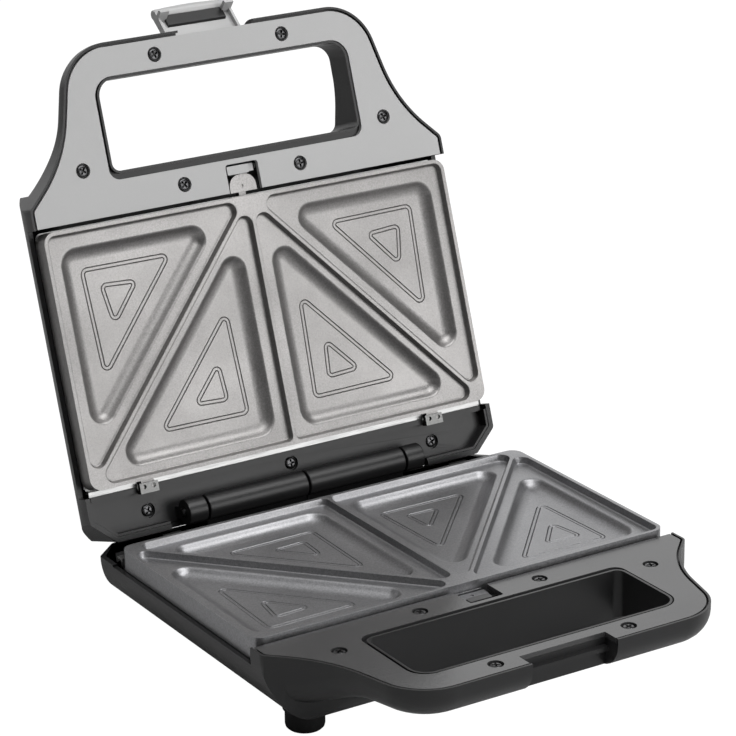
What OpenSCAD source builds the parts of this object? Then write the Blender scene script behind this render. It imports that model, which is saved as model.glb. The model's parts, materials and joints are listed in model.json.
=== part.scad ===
// Sandwich toaster with two hinged halves, shown open.
// Each half is drawn in its own half frame: X to the right, Y from the hinge axis to the handle,
// Z from the hinge plane towards the other half. Depths into a shell are therefore negative.

/* [Plates] */
// Width of each cooking plate
plate_w = 228; // [216:1:240]
// Depth of each cooking plate, from hinge side to handle side
plate_d = 125.8; // [118:0.2:136]
// Distance from the hinge axis to the plates
plate_set = 19.8; // [19.6:0.1:23]
// Thickness of each plate from rim to underside
plate_h = 10.3; // [10:0.1:11.5]
// Width of the rim round each plate
rim_w = 2.5; // [2:0.1:3.2]
// Corner radius of each plate
plate_r = 6; // [4:0.5:8]
// Gap between the two rims when closed
rim_gap = 0.4; // [0.2:0.1:0.6]
// Depth of the lands below the rim
land_drop = 3.4; // [2.8:0.1:3.8]
// Width of the dividing ridges
ridge_w = 3; // [2:0.2:4]
// Corner radius of the lands at the ridges
land_r = 4; // [3:0.5:5]
// Depth of the filling pockets below the lands
pocket_drop = 3.9; // [3:0.1:4.4]
// Run of the sloping pocket walls
pocket_slope = 5; // [3:0.5:6]
// Corner radius of the pockets
pocket_r = 8; // [6:0.5:9]
// From the side of the plate to the outer pockets
pocket_side = 8.8; // [7:0.2:12]
// From the handle side of the plate to the outer pockets
pocket_front = 10; // [8:0.2:13]
// From the hinge side of the plate to the inner pockets
pocket_rear = 7.7; // [6:0.1:11]
// From the middle of the plate to the inner pockets
pocket_middle = 8.3; // [6:0.1:11]
// From the middle of a slanting ridge to the outer pockets
ridge_to_outer = 7.5; // [6:0.1:9]
// From the middle of a slanting ridge to the inner pockets
ridge_to_inner = 6.1; // [5:0.1:9]

/* [Shells] */
// Depth of each shell from the hinge plane
shell_h = 40; // [38:0.5:46]
// Wall thickness of the shells
wall = 2.5; // [2:0.1:2.8]
// How far each shell stands out beside its plate
side_step = 3; // [2.9:0.1:5]
// How far each shell reaches behind the hinge axis
overhang = 6.8; // [6.5:0.1:7]
// Width of the chamfer at each rear corner
rear_cut_w = 12.5; // [9:0.5:15]
// Depth of the chamfer at each rear corner
rear_cut_d = 11.3; // [8:0.1:13]
// Radius of the long underside edges
side_r = 34; // [28:1:36]
// Radius of the underside at the front wall
front_r = 9; // [6:0.5:11]
// Radius of the underside at the rear wall
rear_r = 4; // [3:0.5:6]
// Clearance between a plate and the shell edge below it
edge_gap = 0.3; // [0.2:0.1:0.6]

/* [Handles] */
// Depth of the strip between plate and grip opening
apron_d = 16.9; // [16.5:0.1:19]
// Width of the grip opening
grip_w = 143.8; // [135:0.2:150]
// Depth of the grip opening
grip_d = 49.8; // [44:0.2:56]
// Corner radius of the grip opening at the handle bar
grip_front_r = 10; // [7:0.5:12]
// Corner radius of the grip opening at the apron
grip_rear_r = 5.5; // [4:0.5:8]
// Depth of the handle bar in front of the grip opening
bar_d = 16.7; // [16:0.1:20]
// Depth of the handle bar below the hinge plane
bar_h = 18.5; // [18:0.5:22]
// Extra depth of the handle arms where they leave the body
arm_drop = 9.7; // [7:0.1:12]
// Radius of the underside of the handle bar at the front
bar_r = 12; // [8:0.5:13]
// How far the front of the handle is narrower at each side than the body
taper_in = 34.4; // [30:0.2:36]
// How far the neck of the handle is narrower at each side than the body
neck_in = 21.4; // [18:0.2:24]
// Radius of the handle's front corners
corner_r = 26; // [20:1:30]
// Radius of the hollow at the neck of the handle
neck_r = 70; // [50:1:90]
// Depth of the handle panels below the hinge plane
panel_drop = 2.6; // [2.5:0.1:3.2]
// Thickness of the handle panels
panel_t = 2.4; // [2:0.1:2.6]
// Width of the shell's lip round a handle panel
lip_w = 2; // [1.4:0.1:2]
// Gap round a handle panel
panel_gap = 0.15; // [0.1:0.05:0.3]
// Width of the shell's lip beside the grip opening
grip_lip = 2.2; // [1.6:0.1:3]
// Width of the shell's lip at the rear of the grip opening
grip_lip_rear = 4.2; // [3:0.1:5]
// Gap between plate and handle panel
plate_gap = 2; // [1.4:0.1:3]

/* [Screws] */
// Diameter of the screw heads
head_d = 6.6; // [6:0.1:7]
// Diameter of the recesses round the screw heads
recess_d = 7.5; // [7.2:0.1:8]
// Depth of the recesses round the screw heads
recess_t = 1.4; // [1.2:0.1:1.6]
// Diameter of the screw shanks
shank_d = 3; // [2.6:0.1:3.2]
// Length of the screw shanks
shank_l = 10; // [8:0.5:11]
// Diameter of the screw posts
post_d = 7.2; // [6.6:0.1:8]

/* [Hinge] */
// Diameter of the hinge barrels
barrel_d = 13; // [12:0.1:13.4]
// Diameter of the hinge pin
pin_d = 5; // [4:0.1:6]
// Length of each of the two long barrels
barrel_l = 56.2; // [50:0.2:60]
// Length of each short end knuckle
knuckle_l = 10.6; // [8:0.2:12]
// Gap between neighbouring barrels
barrel_gap = 0.8; // [0.4:0.1:1.2]
// Radial clearance of a turning fit
run_fit = 0.05; // [0.02:0.01:0.1]
// Opening angle of the lid as shown
open_angle = 108.6; // [106:0.1:109]

/* [Latch] */
// Width of the latch clip
latch_w = 41.5; // [36:0.5:44]
// Distance from the latch pin to the middle of the thumb barrel
latch_reach = 24.4; // [24:0.1:25.5]
// Diameter of the thumb barrel
thumb_d = 6.6; // [6:0.1:7]
// Thickness of the latch plate
latch_t = 1.8; // [1.4:0.1:2.2]
// Turn of the latch from closed to folded back
latch_fold = 125; // [112:1:126]
// Diameter of the latch pin
latch_pin_d = 3; // [2.6:0.1:3.2]
// Distance from the front of the handle back to the latch pin
latch_back = 6.5; // [6.3:0.1:6.8]
// Depth of the latch pin below the hinge plane
latch_drop = 8.5; // [8.4:0.1:9]

/* [Plate release] */
// Width of the release button
button_w = 12.3; // [10:0.1:12.6]
// Travel of the release button
button_travel = 4.5; // [4:0.1:4.6]
// Distance of the button's middle to the left of the panel's middle
button_left = 2.35; // [2.3:0.05:2.6]
// Width of the panel window
window_w = 18.4; // [18.2:0.2:20]
// Outer diameter of the release spring
spring_d = 5; // [4:0.1:5.2]
// Wire diameter of the release spring
spring_wire = 0.7; // [0.5:0.05:0.9]
// Number of turns of the release spring
spring_turns = 7; // [5:1:8]

/* [Heating] */
// Diameter of the heating element
element_d = 6.5; // [5.5:0.1:7]
// Thickness of the reflector pan's sheet
sheet = 0.8; // [0.6:0.1:1]
// Depth of the reflector pan
pan_d = 11.5; // [11:0.1:13]
// Depth of the bright rear edge of the pan below the hinge plane
strip_drop = 6.8; // [6.6:0.1:7.2]

/* [Feet] */
// Diameter of the rubber feet
foot_d = 18.4; // [15:0.1:20]
// Height of the rubber feet
foot_h = 10; // [6:0.5:14]
// Distance of the front feet from the middle
foot_x = 88; // [80:1:92]
// Distance of the rear feet from the middle
rear_foot_x = 60; // [54:1:66]
// Distance from the hinge axis to the rear feet
foot_rear = 16; // [13:0.5:20]
// Distance from the rear feet to the front feet
foot_span = 129; // [120:1:132]

/* [Hidden] */

$fn = 48;
black = "#262626";
light_grey = "#b9b9b9";
dark_grey = "#4b4b4d";
steel = "#c9c9c6";

far = 400;             // longer than anything it cuts
slip = 0.3;            // clearance of loose and sliding pieces
press = 0.02;          // radial clearance of a pressed or screwed fit
bolt_hole = 0.4;       // play round a screw's shank
plate_half = plate_w / 2;
half_w = plate_half + side_step;
rim_z = -rim_gap / 2;
land_z = rim_z - land_drop;
pocket_z = land_z - pocket_drop;
plate_under = rim_z - plate_h;
edge_z = plate_under - edge_gap;
plate_front = plate_set + plate_d;
apron_s = plate_front + plate_gap;
body_front = apron_s + apron_d;
grip_front = body_front + grip_d;
reach = grip_front + bar_d;
panel_z = -panel_drop;
lip_z = panel_z + 0.2;
seat_z = panel_z - panel_t;
deck_z = -9.8;                     // top of the base behind the plate, where the open lid stops
deck_front = plate_set - 2.8;      // where the rear deck ends
lid_lip_z = -3;                    // top of the lid's rear lips
lid_deck_z = -9;                   // top of the lid's rear panel
deck_t = 2.4;                      // thickness of the rear panels
hinge_z = foot_h + shell_h;

// Rows of screws: sideways place and distance from the hinge axis
apron_mid = apron_s + 8.8;
panel_screws = [
    [grip_w / 2 + 13.6, body_front + 7.2], [33, apron_mid], [36, grip_front + 7]
];
rear_screws = [[82.5, 4.2], [0, 10.3]];
pan_inset = 3;                     // from the plate's edge to the pan's walls
pan_screws = [[62, plate_set + 27], [62, plate_front - 20]];
pan_floor = plate_under - pan_d;
feet_at = [[rear_foot_x, foot_rear], [foot_x, foot_rear + foot_span]];

// Latch, measured in its half frame
latch_s = reach - latch_back;
thumb_out = 5.1;                   // from the pin to the thumb barrel, sideways
latch_face = 4.8;                  // from the pin to the inner face of the latch plate
lid_notch = [latch_w + 1, latch_s - 4.6];     // width and back wall of the notch in the lid
base_notch = [latch_w + 4.5, latch_s - 3.5];  // and of the one in the base
notch_wall = 2;
rib_bottom = -10.5;                // the base's rib that the latch hooks under
rib_h = 2.2;
rib_d = 3;
cap_front = reach - 2.3;           // the lid panel runs on to here above the latch
latch_hole = latch_pin_d / 2;

// Release button
button_x = -button_left;
button_s = apron_s + 9.1;          // rear edge of the button
button_end = body_front - wall - 0.2;
carriage_l = 20;                   // width of the part of the button under the panel
carriage_x = button_x - 0.15 - carriage_l / 2;
tray_z = seat_z - 7.3;             // shelf that the button slides on
spring_room = 16.2;
spring_stop = carriage_x + carriage_l + spring_room;
spring_z = (seat_z + tray_z) / 2;

spring_s = (button_s + button_end) / 2 + 0.25;

// Small pieces
tab_top = -3.7;                    // top of the plate's rear tabs
strip_z = -strip_drop;
spigot_d = 8;
pad_h = 8;
pocket_half = 74.5;                // half width of the hinge recess in the lid
gland_x = 70;
gland_z = -26;
gland_d = 10;
lamp_x = 9;
lamp_s = body_front - 26.5;
lens_d = 7;
lens_out = 0.8;

// The whole part stands with the middle of its outline at the origin
tip_s = latch_s + latch_reach * sin(latch_fold) + thumb_out * cos(latch_fold);
tip_h = -latch_drop + latch_reach * cos(latch_fold) - thumb_out * sin(latch_fold);
rear_reach = -tip_s * cos(open_angle) - tip_h * sin(open_angle) + thumb_d / 2;
hinge_y = (reach - rear_reach) / 2;

// ---- plane geometry ----

// Unit vector from a to b
function heading(a, b) = (b - a) / norm(b - a);
// Positive if the path a, b, c turns left
function turn(a, b, c) = cross(heading(a, b), heading(b, c));
function point(p) = [p.x, p.y];
function radius(p) = len(p) > 2 ? p[2] : 0;

// Points of the rounded corner b of the path a, b, c
function corner(a, b, c, r) =
    let(u = heading(a, b), v = heading(b, c),
        angle = acos(max(-1, min(1, u * v))), side = sign(turn(a, b, c)))
    r <= 0 || angle < 0.5 ? [b]
    : let(cut = r * tan(angle / 2), start = b - u * cut, middle = start + side * r * [-u.y, u.x],
          steps = max(2, ceil(angle / (r > 20 ? 5 : 11))))
      [for (i = [0:steps])
          let(t = side * angle * i / steps, w = start - middle)
          middle + [w.x * cos(t) - w.y * sin(t), w.x * sin(t) + w.y * cos(t)]];

// Path with its corners rounded; each point is [x, y, radius]
function smooth(path) =
    let(n = len(path))
    [for (i = [0:n - 1])
        each corner(point(path[(i + n - 1) % n]), point(path[i]),
                    point(path[(i + 1) % n]), radius(path[i]))];

// The same path moved outwards by d, with its radii to match; the path runs anticlockwise
function grown(path, d) =
    let(n = len(path))
    [for (i = [0:n - 1])
        let(a = point(path[(i + n - 1) % n]), b = point(path[i]), c = point(path[(i + 1) % n]),
            u = heading(a, b), v = heading(b, c), m = [u.y, -u.x], k = [v.y, -v.x],
            moved = b + (m + k) * d / (1 + m * k), side = turn(a, b, c) > 0 ? 1 : -1,
            r = radius(path[i]))
        [moved.x, moved.y, r > 0 ? max(0.2, r + side * d) : 0]];

// Right half of an outline completed by its mirror image
function both_sides(half) =
    concat(half, [for (i = [len(half) - 1:-1:0]) [-half[i].x, half[i].y, radius(half[i])]]);

// ---- outlines of a half ----

shell_outline = both_sides([
    [half_w - rear_cut_w, -overhang, 3],
    [half_w, -overhang + rear_cut_d, 3],
    [half_w, body_front - 7.2, 4.5],
    [half_w - neck_in, body_front - 7.2 + neck_in, neck_r],
    [half_w - taper_in, reach, corner_r]
]);
grip_outline = both_sides([
    [grip_w / 2, body_front, grip_rear_r],
    [grip_w / 2, grip_front, grip_front_r]
]);
// The shell's own opening for the fingers, inside its lip
finger_hole = both_sides([
    [grip_w / 2 - grip_lip, body_front + grip_lip_rear, grip_rear_r - 1.5],
    [grip_w / 2 - grip_lip, grip_front - grip_lip * 0.6, grip_front_r - 1.5]
]);
// Seen from the side: distance from the hinge axis and depth; open at the top
side_outline = [
    [-overhang, -shell_h, rear_r],
    [body_front, -shell_h, front_r],
    [body_front, -bar_h - arm_drop, 3],
    [body_front + arm_drop * 2.5, -bar_h, 50],
    [reach, -bar_h, bar_r],
    [reach, far / 4],
    [-overhang, far / 4]
];
// Seen from the front: sideways place and depth
front_outline = [
    [-half_w, -shell_h, side_r], [half_w, -shell_h, side_r], [half_w, far / 4], [-half_w, far / 4]
];

// ---- helpers ----

module at_base() { translate([0, hinge_y, hinge_z]) mirror([0, 1, 0]) children(); }
module at_lid() {
    translate([0, hinge_y, hinge_z]) rotate([-open_angle, 0, 0])
        mirror([0, 0, 1]) mirror([0, 1, 0]) children();
}
module twin() { children(); mirror([1, 0, 0]) children(); }

// Block given by its low and high corners
module block(low, high) { translate(low) cube(high - low); }

// Outline filled between two depths
module slab(path, low, high) { translate([0, 0, low]) linear_extrude(high - low) polygon(smooth(path)); }

// Round bar along X between two sideways places
module bar(x0, x1, s, h, d) { translate([x0, s, h]) rotate([0, 90, 0]) cylinder(d = d, h = x1 - x0); }

// Places given in rows on both sides of the middle, once on the middle itself
module at_each(places) {
    for (p = places) {
        translate([p.x, p.y, 0]) children();
        if (p.x > 0) translate([-p.x, p.y, 0]) children();
    }
}

// ---- shells ----

// Outer form of a shell, drawn in by some distance and open at the top
module envelope(inset) {
    intersection() {
        slab(grown(shell_outline, -inset), -shell_h - 1, 20);
        rotate([90, 0, 90]) translate([0, 0, -far / 2]) linear_extrude(far)
            polygon(smooth(grown(side_outline, -inset)));
        rotate([90, 0, 0]) translate([0, 0, -far]) linear_extrude(2 * far)
            polygon(smooth(grown(front_outline, -inset)));
    }
}

// Screw post from the bottom of the shell up to a given depth
module post(top) { translate([0, 0, -shell_h]) cylinder(d = post_d, h = shell_h + top); }
module pilot(top, d) { translate([0, 0, top - shank_l]) cylinder(d = d, h = shank_l + 1); }

// Everything above the edge of a shell, with the rear deck at deck_top
module above_edge(rear_top) {
    block([-far, -far, rear_top], [far, deck_front, far]);
    block([-far, deck_front - 0.01, edge_z], [far, apron_s, far]);
    block([-far, apron_s - 0.01, lip_z], [far, far, far]);
}

// Shelf, stop and spring rib of the release button, standing on the shell
module button_tray() {
    rest = carriage_x - slip - wall;
    translate([0, button_s + 0.5, 0]) {
        block([rest, 0, -shell_h], [spring_stop + wall, body_front - button_s - 1, tray_z - slip]);
        block([rest, 0, -shell_h], [rest + wall, body_front - button_s - 1, seat_z - slip]);
        block([spring_stop, 0, -shell_h], [spring_stop + wall, body_front - button_s - 1, seat_z - slip]);
    }
}

module shell_body(rear_top, rear_panel_under) {
    difference() {
        union() {
            difference() {
                envelope(0);
                envelope(wall);
                slab(grown(shell_outline, -lip_w), seat_z, 20);
                above_edge(rear_top);
            }
            intersection() {
                envelope(0);
                union() {
                    slab(grown(finger_hole, wall), -shell_h, seat_z);
                    slab(grown(grip_outline, wall), seat_z - wall, seat_z);
                    slab(grown(grip_outline, -panel_gap), seat_z - wall, lip_z);
                    block([-grip_w / 2 - wall, body_front - wall, -shell_h],
                          [grip_w / 2 + wall, body_front, seat_z]);
                }
            }
            intersection() {
                envelope(wall / 2);
                union() {
                    at_each(panel_screws) post(seat_z);
                    at_each(rear_screws) post(rear_panel_under);
                    at_each(pan_screws) post(pan_floor);
                    button_tray();
                }
            }
        }
        slab(finger_hole, -shell_h - 1, far);
        at_each(panel_screws) pilot(seat_z, shank_d + 2 * press);
        at_each(rear_screws) pilot(rear_panel_under, shank_d + 2 * press);
        at_each(pan_screws) pilot(pan_floor, shank_d + 2 * press);
    }
}

// Pads under the base that the feet stand against
module foot_pads() {
    at_each(feet_at) translate([0, 0, -shell_h]) cylinder(d = foot_d + 2, h = pad_h);
}

// A notch for the latch is its width and the place of its back wall
module notch_cut(notch, top) { block([-notch[0] / 2, notch[1], -far], [notch[0] / 2, far, top]); }
module notch_walls(notch) {
    w = notch[0] / 2 + notch_wall;
    intersection() {
        envelope(0);
        block([-w, notch[1] - notch_wall, -shell_h], [w, reach, seat_z]);
    }
}

module base_shell() {
    color(black) at_base() difference() {
        union() {
            shell_body(deck_z, deck_z - deck_t);
            notch_walls(base_notch);
            foot_pads();
        }
        difference() {
            notch_cut(base_notch, far);
            block([-far, base_notch[1] - 1, rib_bottom],
                  [far, base_notch[1] + rib_d, rib_bottom + rib_h]);
        }
        at_each(feet_at) translate([0, 0, -shell_h - 1]) cylinder(d = spigot_d + 2 * press, h = pad_h + 1.1);
        translate([gland_x, 0, gland_z]) rotate([90, 0, 0]) cylinder(d = gland_d + 2 * press, h = 20);
    }
}

module lid_shell() {
    pin_half = lid_notch[0] / 2 + notch_wall;
    color(black) at_lid() difference() {
        union() {
            shell_body(lid_lip_z, lid_deck_z - deck_t);
            notch_walls(lid_notch);
        }
        notch_cut(lid_notch, seat_z + 0.01);
        block([-lid_notch[0] / 2, latch_s, seat_z - 0.01], [lid_notch[0] / 2, far, far]);
        bar(-pin_half - 1, pin_half + 1, latch_s, -latch_drop, latch_pin_d + 2 * press);
        block([-pocket_half, -far, -8], [pocket_half, -overhang + wall + 0.01, far]);
        for (x = [-lamp_x, lamp_x])
            translate([x, lamp_s, -shell_h - 1]) cylinder(d = lens_d + 2 * press, h = wall + 2);
    }
}

// ---- handle panels ----

panel_path = grown(shell_outline, -lip_w - panel_gap);
tab_w = 15;                        // width of the plate's front tab
tab_end = button_s - 0.3;

module handle_panel() {
    difference() {
        slab(panel_path, seat_z, panel_z);
        block([-far, -far, -far], [far, apron_s + 0.3, far]);
        slab(grip_outline, -far, far);
        block([-window_w / 2, -far, -far], [window_w / 2, button_end + 0.2, far]);
        at_each(panel_screws) {
            translate([0, 0, panel_z - recess_t]) cylinder(d = recess_d, h = recess_t + 1);
            translate([0, 0, seat_z - 1]) cylinder(d = shank_d + bolt_hole, h = panel_t + 2);
        }
    }
}

module base_handle_panel() {
    color(dark_grey) at_base() difference() {
        handle_panel();
        notch_cut(base_notch + [2 * slip, -slip], far);
    }
}

module lid_handle_panel() {
    color(light_grey) at_lid() difference() {
        handle_panel();
        block([-far, cap_front, -far], [far, far, far]);
    }
}

// Cross-head screw whose head stands on the given depth
module screw(seat) {
    difference() {
        union() {
            translate([0, 0, seat]) cylinder(d = head_d, h = 1.1);
            translate([0, 0, seat - shank_l + 2]) cylinder(d = shank_d, h = shank_l - 1);
        }
        for (a = [0, 90]) rotate(a) translate([-head_d * 0.3, -0.5, seat + 0.3]) cube([head_d * 0.6, 1, 1]);
    }
}
module base_panel_screws() { color(steel) at_base() at_each(panel_screws) screw(panel_z - recess_t); }
module lid_panel_screws() { color(steel) at_lid() at_each(panel_screws) screw(panel_z - recess_t); }

// ---- rear panels and hinge ----

rear_end = deck_front - 2.4;       // where the rear panels end
module rear_panel(top) {
    difference() {
        intersection() {
            envelope(wall + panel_gap);
            block([-far, -far, top - deck_t], [far, rear_end, top]);
        }
        at_each(rear_screws) {
            translate([0, 0, top - recess_t]) cylinder(d = recess_d, h = recess_t + 1);
            translate([0, 0, top - deck_t - 1]) cylinder(d = shank_d + bolt_hole, h = deck_t + 2);
        }
    }
}

// Barrel round the hinge axis with a web down to its panel
module barrel(x0, x1, top) {
    difference() {
        union() {
            bar(x0, x1, 0, 0, barrel_d);
            block([x0, -3, top - 0.5], [x1, 3, 0]);
        }
        bar(x0 - 1, x1 + 1, 0, 0, pin_d + 2 * run_fit);
    }
}

long_start = barrel_gap / 2;
long_end = long_start + barrel_l;
knuckle_start = long_end + barrel_gap;
knuckle_end = knuckle_start + knuckle_l;

module base_rear_panel() {
    color(black) at_base() {
        rear_panel(deck_z);
        twin() barrel(long_start, long_end, deck_z);
    }
}

module lid_rear_panel() {
    color(black) at_lid() {
        rear_panel(lid_deck_z);
        difference() {
            intersection() {
                envelope(wall + panel_gap);
                block([-far, -far, lid_deck_z - 0.5], [far, rear_end, lid_lip_z - 0.4]);
            }
            slab(grown(shell_outline, -wall - panel_gap - 1.2), -far, far);
            block([-pocket_half, -far, -far], [pocket_half, far, far]);
        }
        twin() barrel(knuckle_start, knuckle_end, lid_deck_z);
    }
}

module base_rear_screws() { color(steel) at_base() at_each(rear_screws) screw(deck_z - recess_t); }
module lid_rear_screws() { color(steel) at_lid() at_each(rear_screws) screw(lid_deck_z - recess_t); }
module hinge_pin() { color(steel) at_base() bar(-knuckle_end - 1.5, knuckle_end + 1.5, 0, 0, pin_d); }

// ---- plates ----

// The slanting ridge runs from the middle of the handle side to the inner hinge-side corner
ridge_slope = (plate_d - rim_w) / (plate_half - rim_w);
ridge_stretch = sqrt(1 + ridge_slope * ridge_slope);
function ridge_s(x, shift) = plate_front - ridge_slope * x + shift * ridge_stretch;
function ridge_x(s, shift) = (plate_front + shift * ridge_stretch - s) / ridge_slope;

// Triangle between the ridge, the side and the handle edge of the plate
function outer_area(side_in, front_in, shift, r_side, r_ridge) =
    let(x = plate_half - side_in, s = plate_front - front_in)
    [[x, ridge_s(x, shift), r_ridge], [x, s, r_side], [ridge_x(s, shift), s, r_ridge]];
// Triangle between the ridge, the middle and the hinge edge of the plate
function inner_area(middle_in, rear_in, shift, r_corner, r_ridge) =
    let(s = plate_set + rear_in)
    [[middle_in, s, r_corner], [ridge_x(s, -shift), s, r_ridge],
     [middle_in, ridge_s(middle_in, -shift), r_ridge]];

outer_land = outer_area(rim_w, rim_w, ridge_w / 2, plate_r - rim_w, land_r);
inner_land = inner_area(ridge_w / 2, rim_w, ridge_w / 2, 2, land_r);
outer_pocket = outer_area(pocket_side, pocket_front, ridge_to_outer, pocket_r, pocket_r);
inner_pocket = inner_area(pocket_middle, pocket_rear, ridge_to_inner, pocket_r, pocket_r);
plate_path = both_sides([[plate_half, plate_set, plate_r], [plate_half, plate_front, plate_r]]);

module pocket(path) {
    hull() {
        translate([0, 0, land_z]) linear_extrude(1) polygon(smooth(path));
        translate([0, 0, pocket_z]) linear_extrude(0.1) polygon(smooth(grown(path, -pocket_slope)));
    }
}

tab_z = seat_z;                    // top of the plate's front tab
clip_x = plate_half - 31.5;        // sideways place of the rear clips
module plate() {
    difference() {
        slab(plate_path, plate_under, rim_z);
        twin() {
            slab(outer_land, land_z, 1);
            slab(inner_land, land_z, 1);
            pocket(outer_pocket);
            pocket(inner_pocket);
        }
    }
    // front tab with the lug that the button's finger holds down
    slab([[tab_w / 2, plate_front - 1], [tab_w / 2, tab_end, 6],
          [-tab_w / 2, tab_end, 6], [-tab_w / 2, plate_front - 1]], tab_z - 2, tab_z);
    block([-2, tab_end - 6.5, tray_z - 0.7], [2, tab_end - 0.5, tab_z - 1]);
    block([-2, tab_end - 6.5, tray_z - 2.3], [6, tab_end - 0.5, tray_z - 0.3]);
    // rear tabs that sit under the clips
    twin() block([clip_x - 3.5, plate_set - 4.8, tab_top - 1.6], [clip_x + 3.5, plate_set + 1, tab_top]);
}

module lower_plate() { color("#6a6a6c") at_base() plate(); }
module upper_plate() { color("#b0aca9") at_lid() plate(); }

// Spring clips over the plate's rear tabs, standing on the pan's rear strip
module plate_clips() {
    twin() difference() {
        block([clip_x - 5, plate_set - 6.6, strip_z], [clip_x + 5, plate_set - 1.4, tab_top + 1.2]);
        block([clip_x - 6, plate_set - 5.8, strip_z + sheet], [clip_x + 6, plate_set, tab_top + 0.4]);
        for (x = [-2.6, 2.6])
            translate([clip_x + x, plate_set - 3.4, tab_top]) cylinder(d = 2.2, h = 3);
    }
}
module lower_plate_clips() { color(steel) at_base() plate_clips(); }
module upper_plate_clips() { color(steel) at_lid() plate_clips(); }

// ---- heating ----

pan_half = plate_half - pan_inset - 3;
pan_path = both_sides([[pan_half, plate_set + 4, 8], [pan_half, plate_front - pan_inset, 8]]);
flange_path = both_sides([[plate_half - 0.6, plate_set - 0.4, 3], [plate_half - 0.6, plate_front + 0.4, 3]]);
terminal_x = 20;
element_z = plate_under - slip - element_d / 2;

module reflector_pan() {
    difference() {
        union() {
            slab(pan_path, pan_floor, plate_under);
            slab(flange_path, plate_under - sheet, plate_under);
        }
        slab(grown(pan_path, -sheet), pan_floor + sheet, plate_under + 1);
        at_each(pan_screws) translate([0, 0, pan_floor - 1]) cylinder(d = shank_d + bolt_hole, h = 5);
        twin() translate([terminal_x, element_rear, pan_floor - 1]) cylinder(d = element_d + 1, h = 5);
    }
    // bright edge that stands up behind the plate and turns back over the rear deck
    strip_half = plate_half - 1;
    strip_s = plate_set - 0.4;
    block([-strip_half, strip_s - sheet, plate_under - sheet], [strip_half, strip_s, strip_z]);
    block([-strip_half, strip_s - 4.4, strip_z - sheet], [strip_half, strip_s, strip_z]);
}
module lower_reflector_pan() { color("#e4e4e2") at_base() reflector_pan(); }
module upper_reflector_pan() { color("#e4e4e2") at_lid() reflector_pan(); }
module lower_pan_screws() { color(steel) at_base() at_each(pan_screws) screw(pan_floor + sheet); }
module upper_pan_screws() { color(steel) at_lid() at_each(pan_screws) screw(pan_floor + sheet); }

element_bend = 18;
element_half = plate_half - 28;
element_rear = plate_set + 17;
element_front = plate_front - 21;
clamp_x = element_half / 2 - 1;    // sideways place of the saddles

// Quarter bend of the element, flat in the plane of the pan
module bend(x, s, start) {
    translate([x, s, element_z]) rotate([0, 0, start]) rotate_extrude(angle = 90)
        translate([element_bend, 0]) circle(d = element_d);
}
module heating_element() {
    straight_x = element_half - element_bend;
    drop = 8;
    twin() {
        bend(straight_x, element_rear + element_bend, 270);
        bend(straight_x, element_front - element_bend, 0);
        translate([element_half, element_rear + element_bend, element_z]) rotate([-90, 0, 0])
            cylinder(d = element_d, h = element_front - element_rear - 2 * element_bend);
        bar(terminal_x + drop, straight_x, element_rear, element_z, element_d);
        translate([terminal_x + drop, element_rear, element_z - drop]) rotate([90, 0, 0])
            rotate([0, 0, 90]) rotate_extrude(angle = 90) translate([drop, 0]) circle(d = element_d);
        translate([terminal_x, element_rear, pan_floor - 6])
            cylinder(d = element_d, h = element_z - drop - pan_floor + 6);
        translate([terminal_x, element_rear, pan_floor - 12]) cylinder(d = 2.4, h = 7);
    }
    bar(-straight_x, straight_x, element_front, element_z, element_d);
}
module lower_heating_element() { color("#5b5a58") at_base() heating_element(); }
module upper_heating_element() { color("#5b5a58") at_lid() heating_element(); }

// Saddles that carry the element on the pan's floor
module element_clamps() {
    saddle = element_d / 2 + 1.2;
    module clamp() difference() {
        block([-4, -saddle, pan_floor + sheet], [4, saddle, element_z]);
        bar(-5, 5, 0, element_z, element_d + 2 * press);
    }
    twin() for (s = [element_rear, element_front]) translate([clamp_x, s, 0]) clamp();
}
module lower_element_clamps() { color(steel) at_base() element_clamps(); }
module upper_element_clamps() { color(steel) at_lid() element_clamps(); }

thermo_s = (plate_set + plate_front) / 2;
module thermostat() {
    color("#e8e2d4") at_lid() {
        translate([0, thermo_s, pan_floor + sheet]) cylinder(d = 16, h = pan_d - sheet - slip);
        twin() block([7, thermo_s - 3, pan_floor + sheet], [12, thermo_s + 3, pan_floor + sheet + 0.8]);
    }
}
module thermal_fuse() {
    color("#d8d4cc") at_base() {
        bar(-9, 9, thermo_s, pan_floor + sheet + 2, 4);
        block([-4, thermo_s - 4, pan_floor + sheet], [4, thermo_s + 4, pan_floor + sheet + 0.8]);
    }
}

// ---- plate release ----

module release_button() {
    left = button_x - button_w / 2;
    carriage_end = carriage_x + carriage_l;
    block([left, button_s, panel_z - 2], [left + button_w, button_end, panel_z]);
    block([left, button_s + 0.5, seat_z - 2], [left + button_w, button_end, panel_z - 1]);
    block([carriage_x, button_s + 0.5, tray_z], [carriage_end, button_end, seat_z - slip]);
    // finger over the foot of the plate's lug
    block([2.4, tab_end - 6, tray_z], [6, button_s + 1, tray_z + 2.3]);
    // pin that centres the spring
    bar(carriage_end - 1, carriage_end + 3, spring_s, spring_z, spring_d - 2 * spring_wire - 0.8);
    // finger ribs on the button's top
    for (x = [button_x - 4:2:button_x + 4])
        block([x - 0.35, button_s + 0.8, panel_z - 0.5], [x + 0.35, button_end - 0.8, panel_z + 0.3]);
}
module lower_release_button() { color("#1c1c1c") at_base() release_button(); }
module upper_release_button() { color("#3a3a3a") at_lid() release_button(); }

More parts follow.
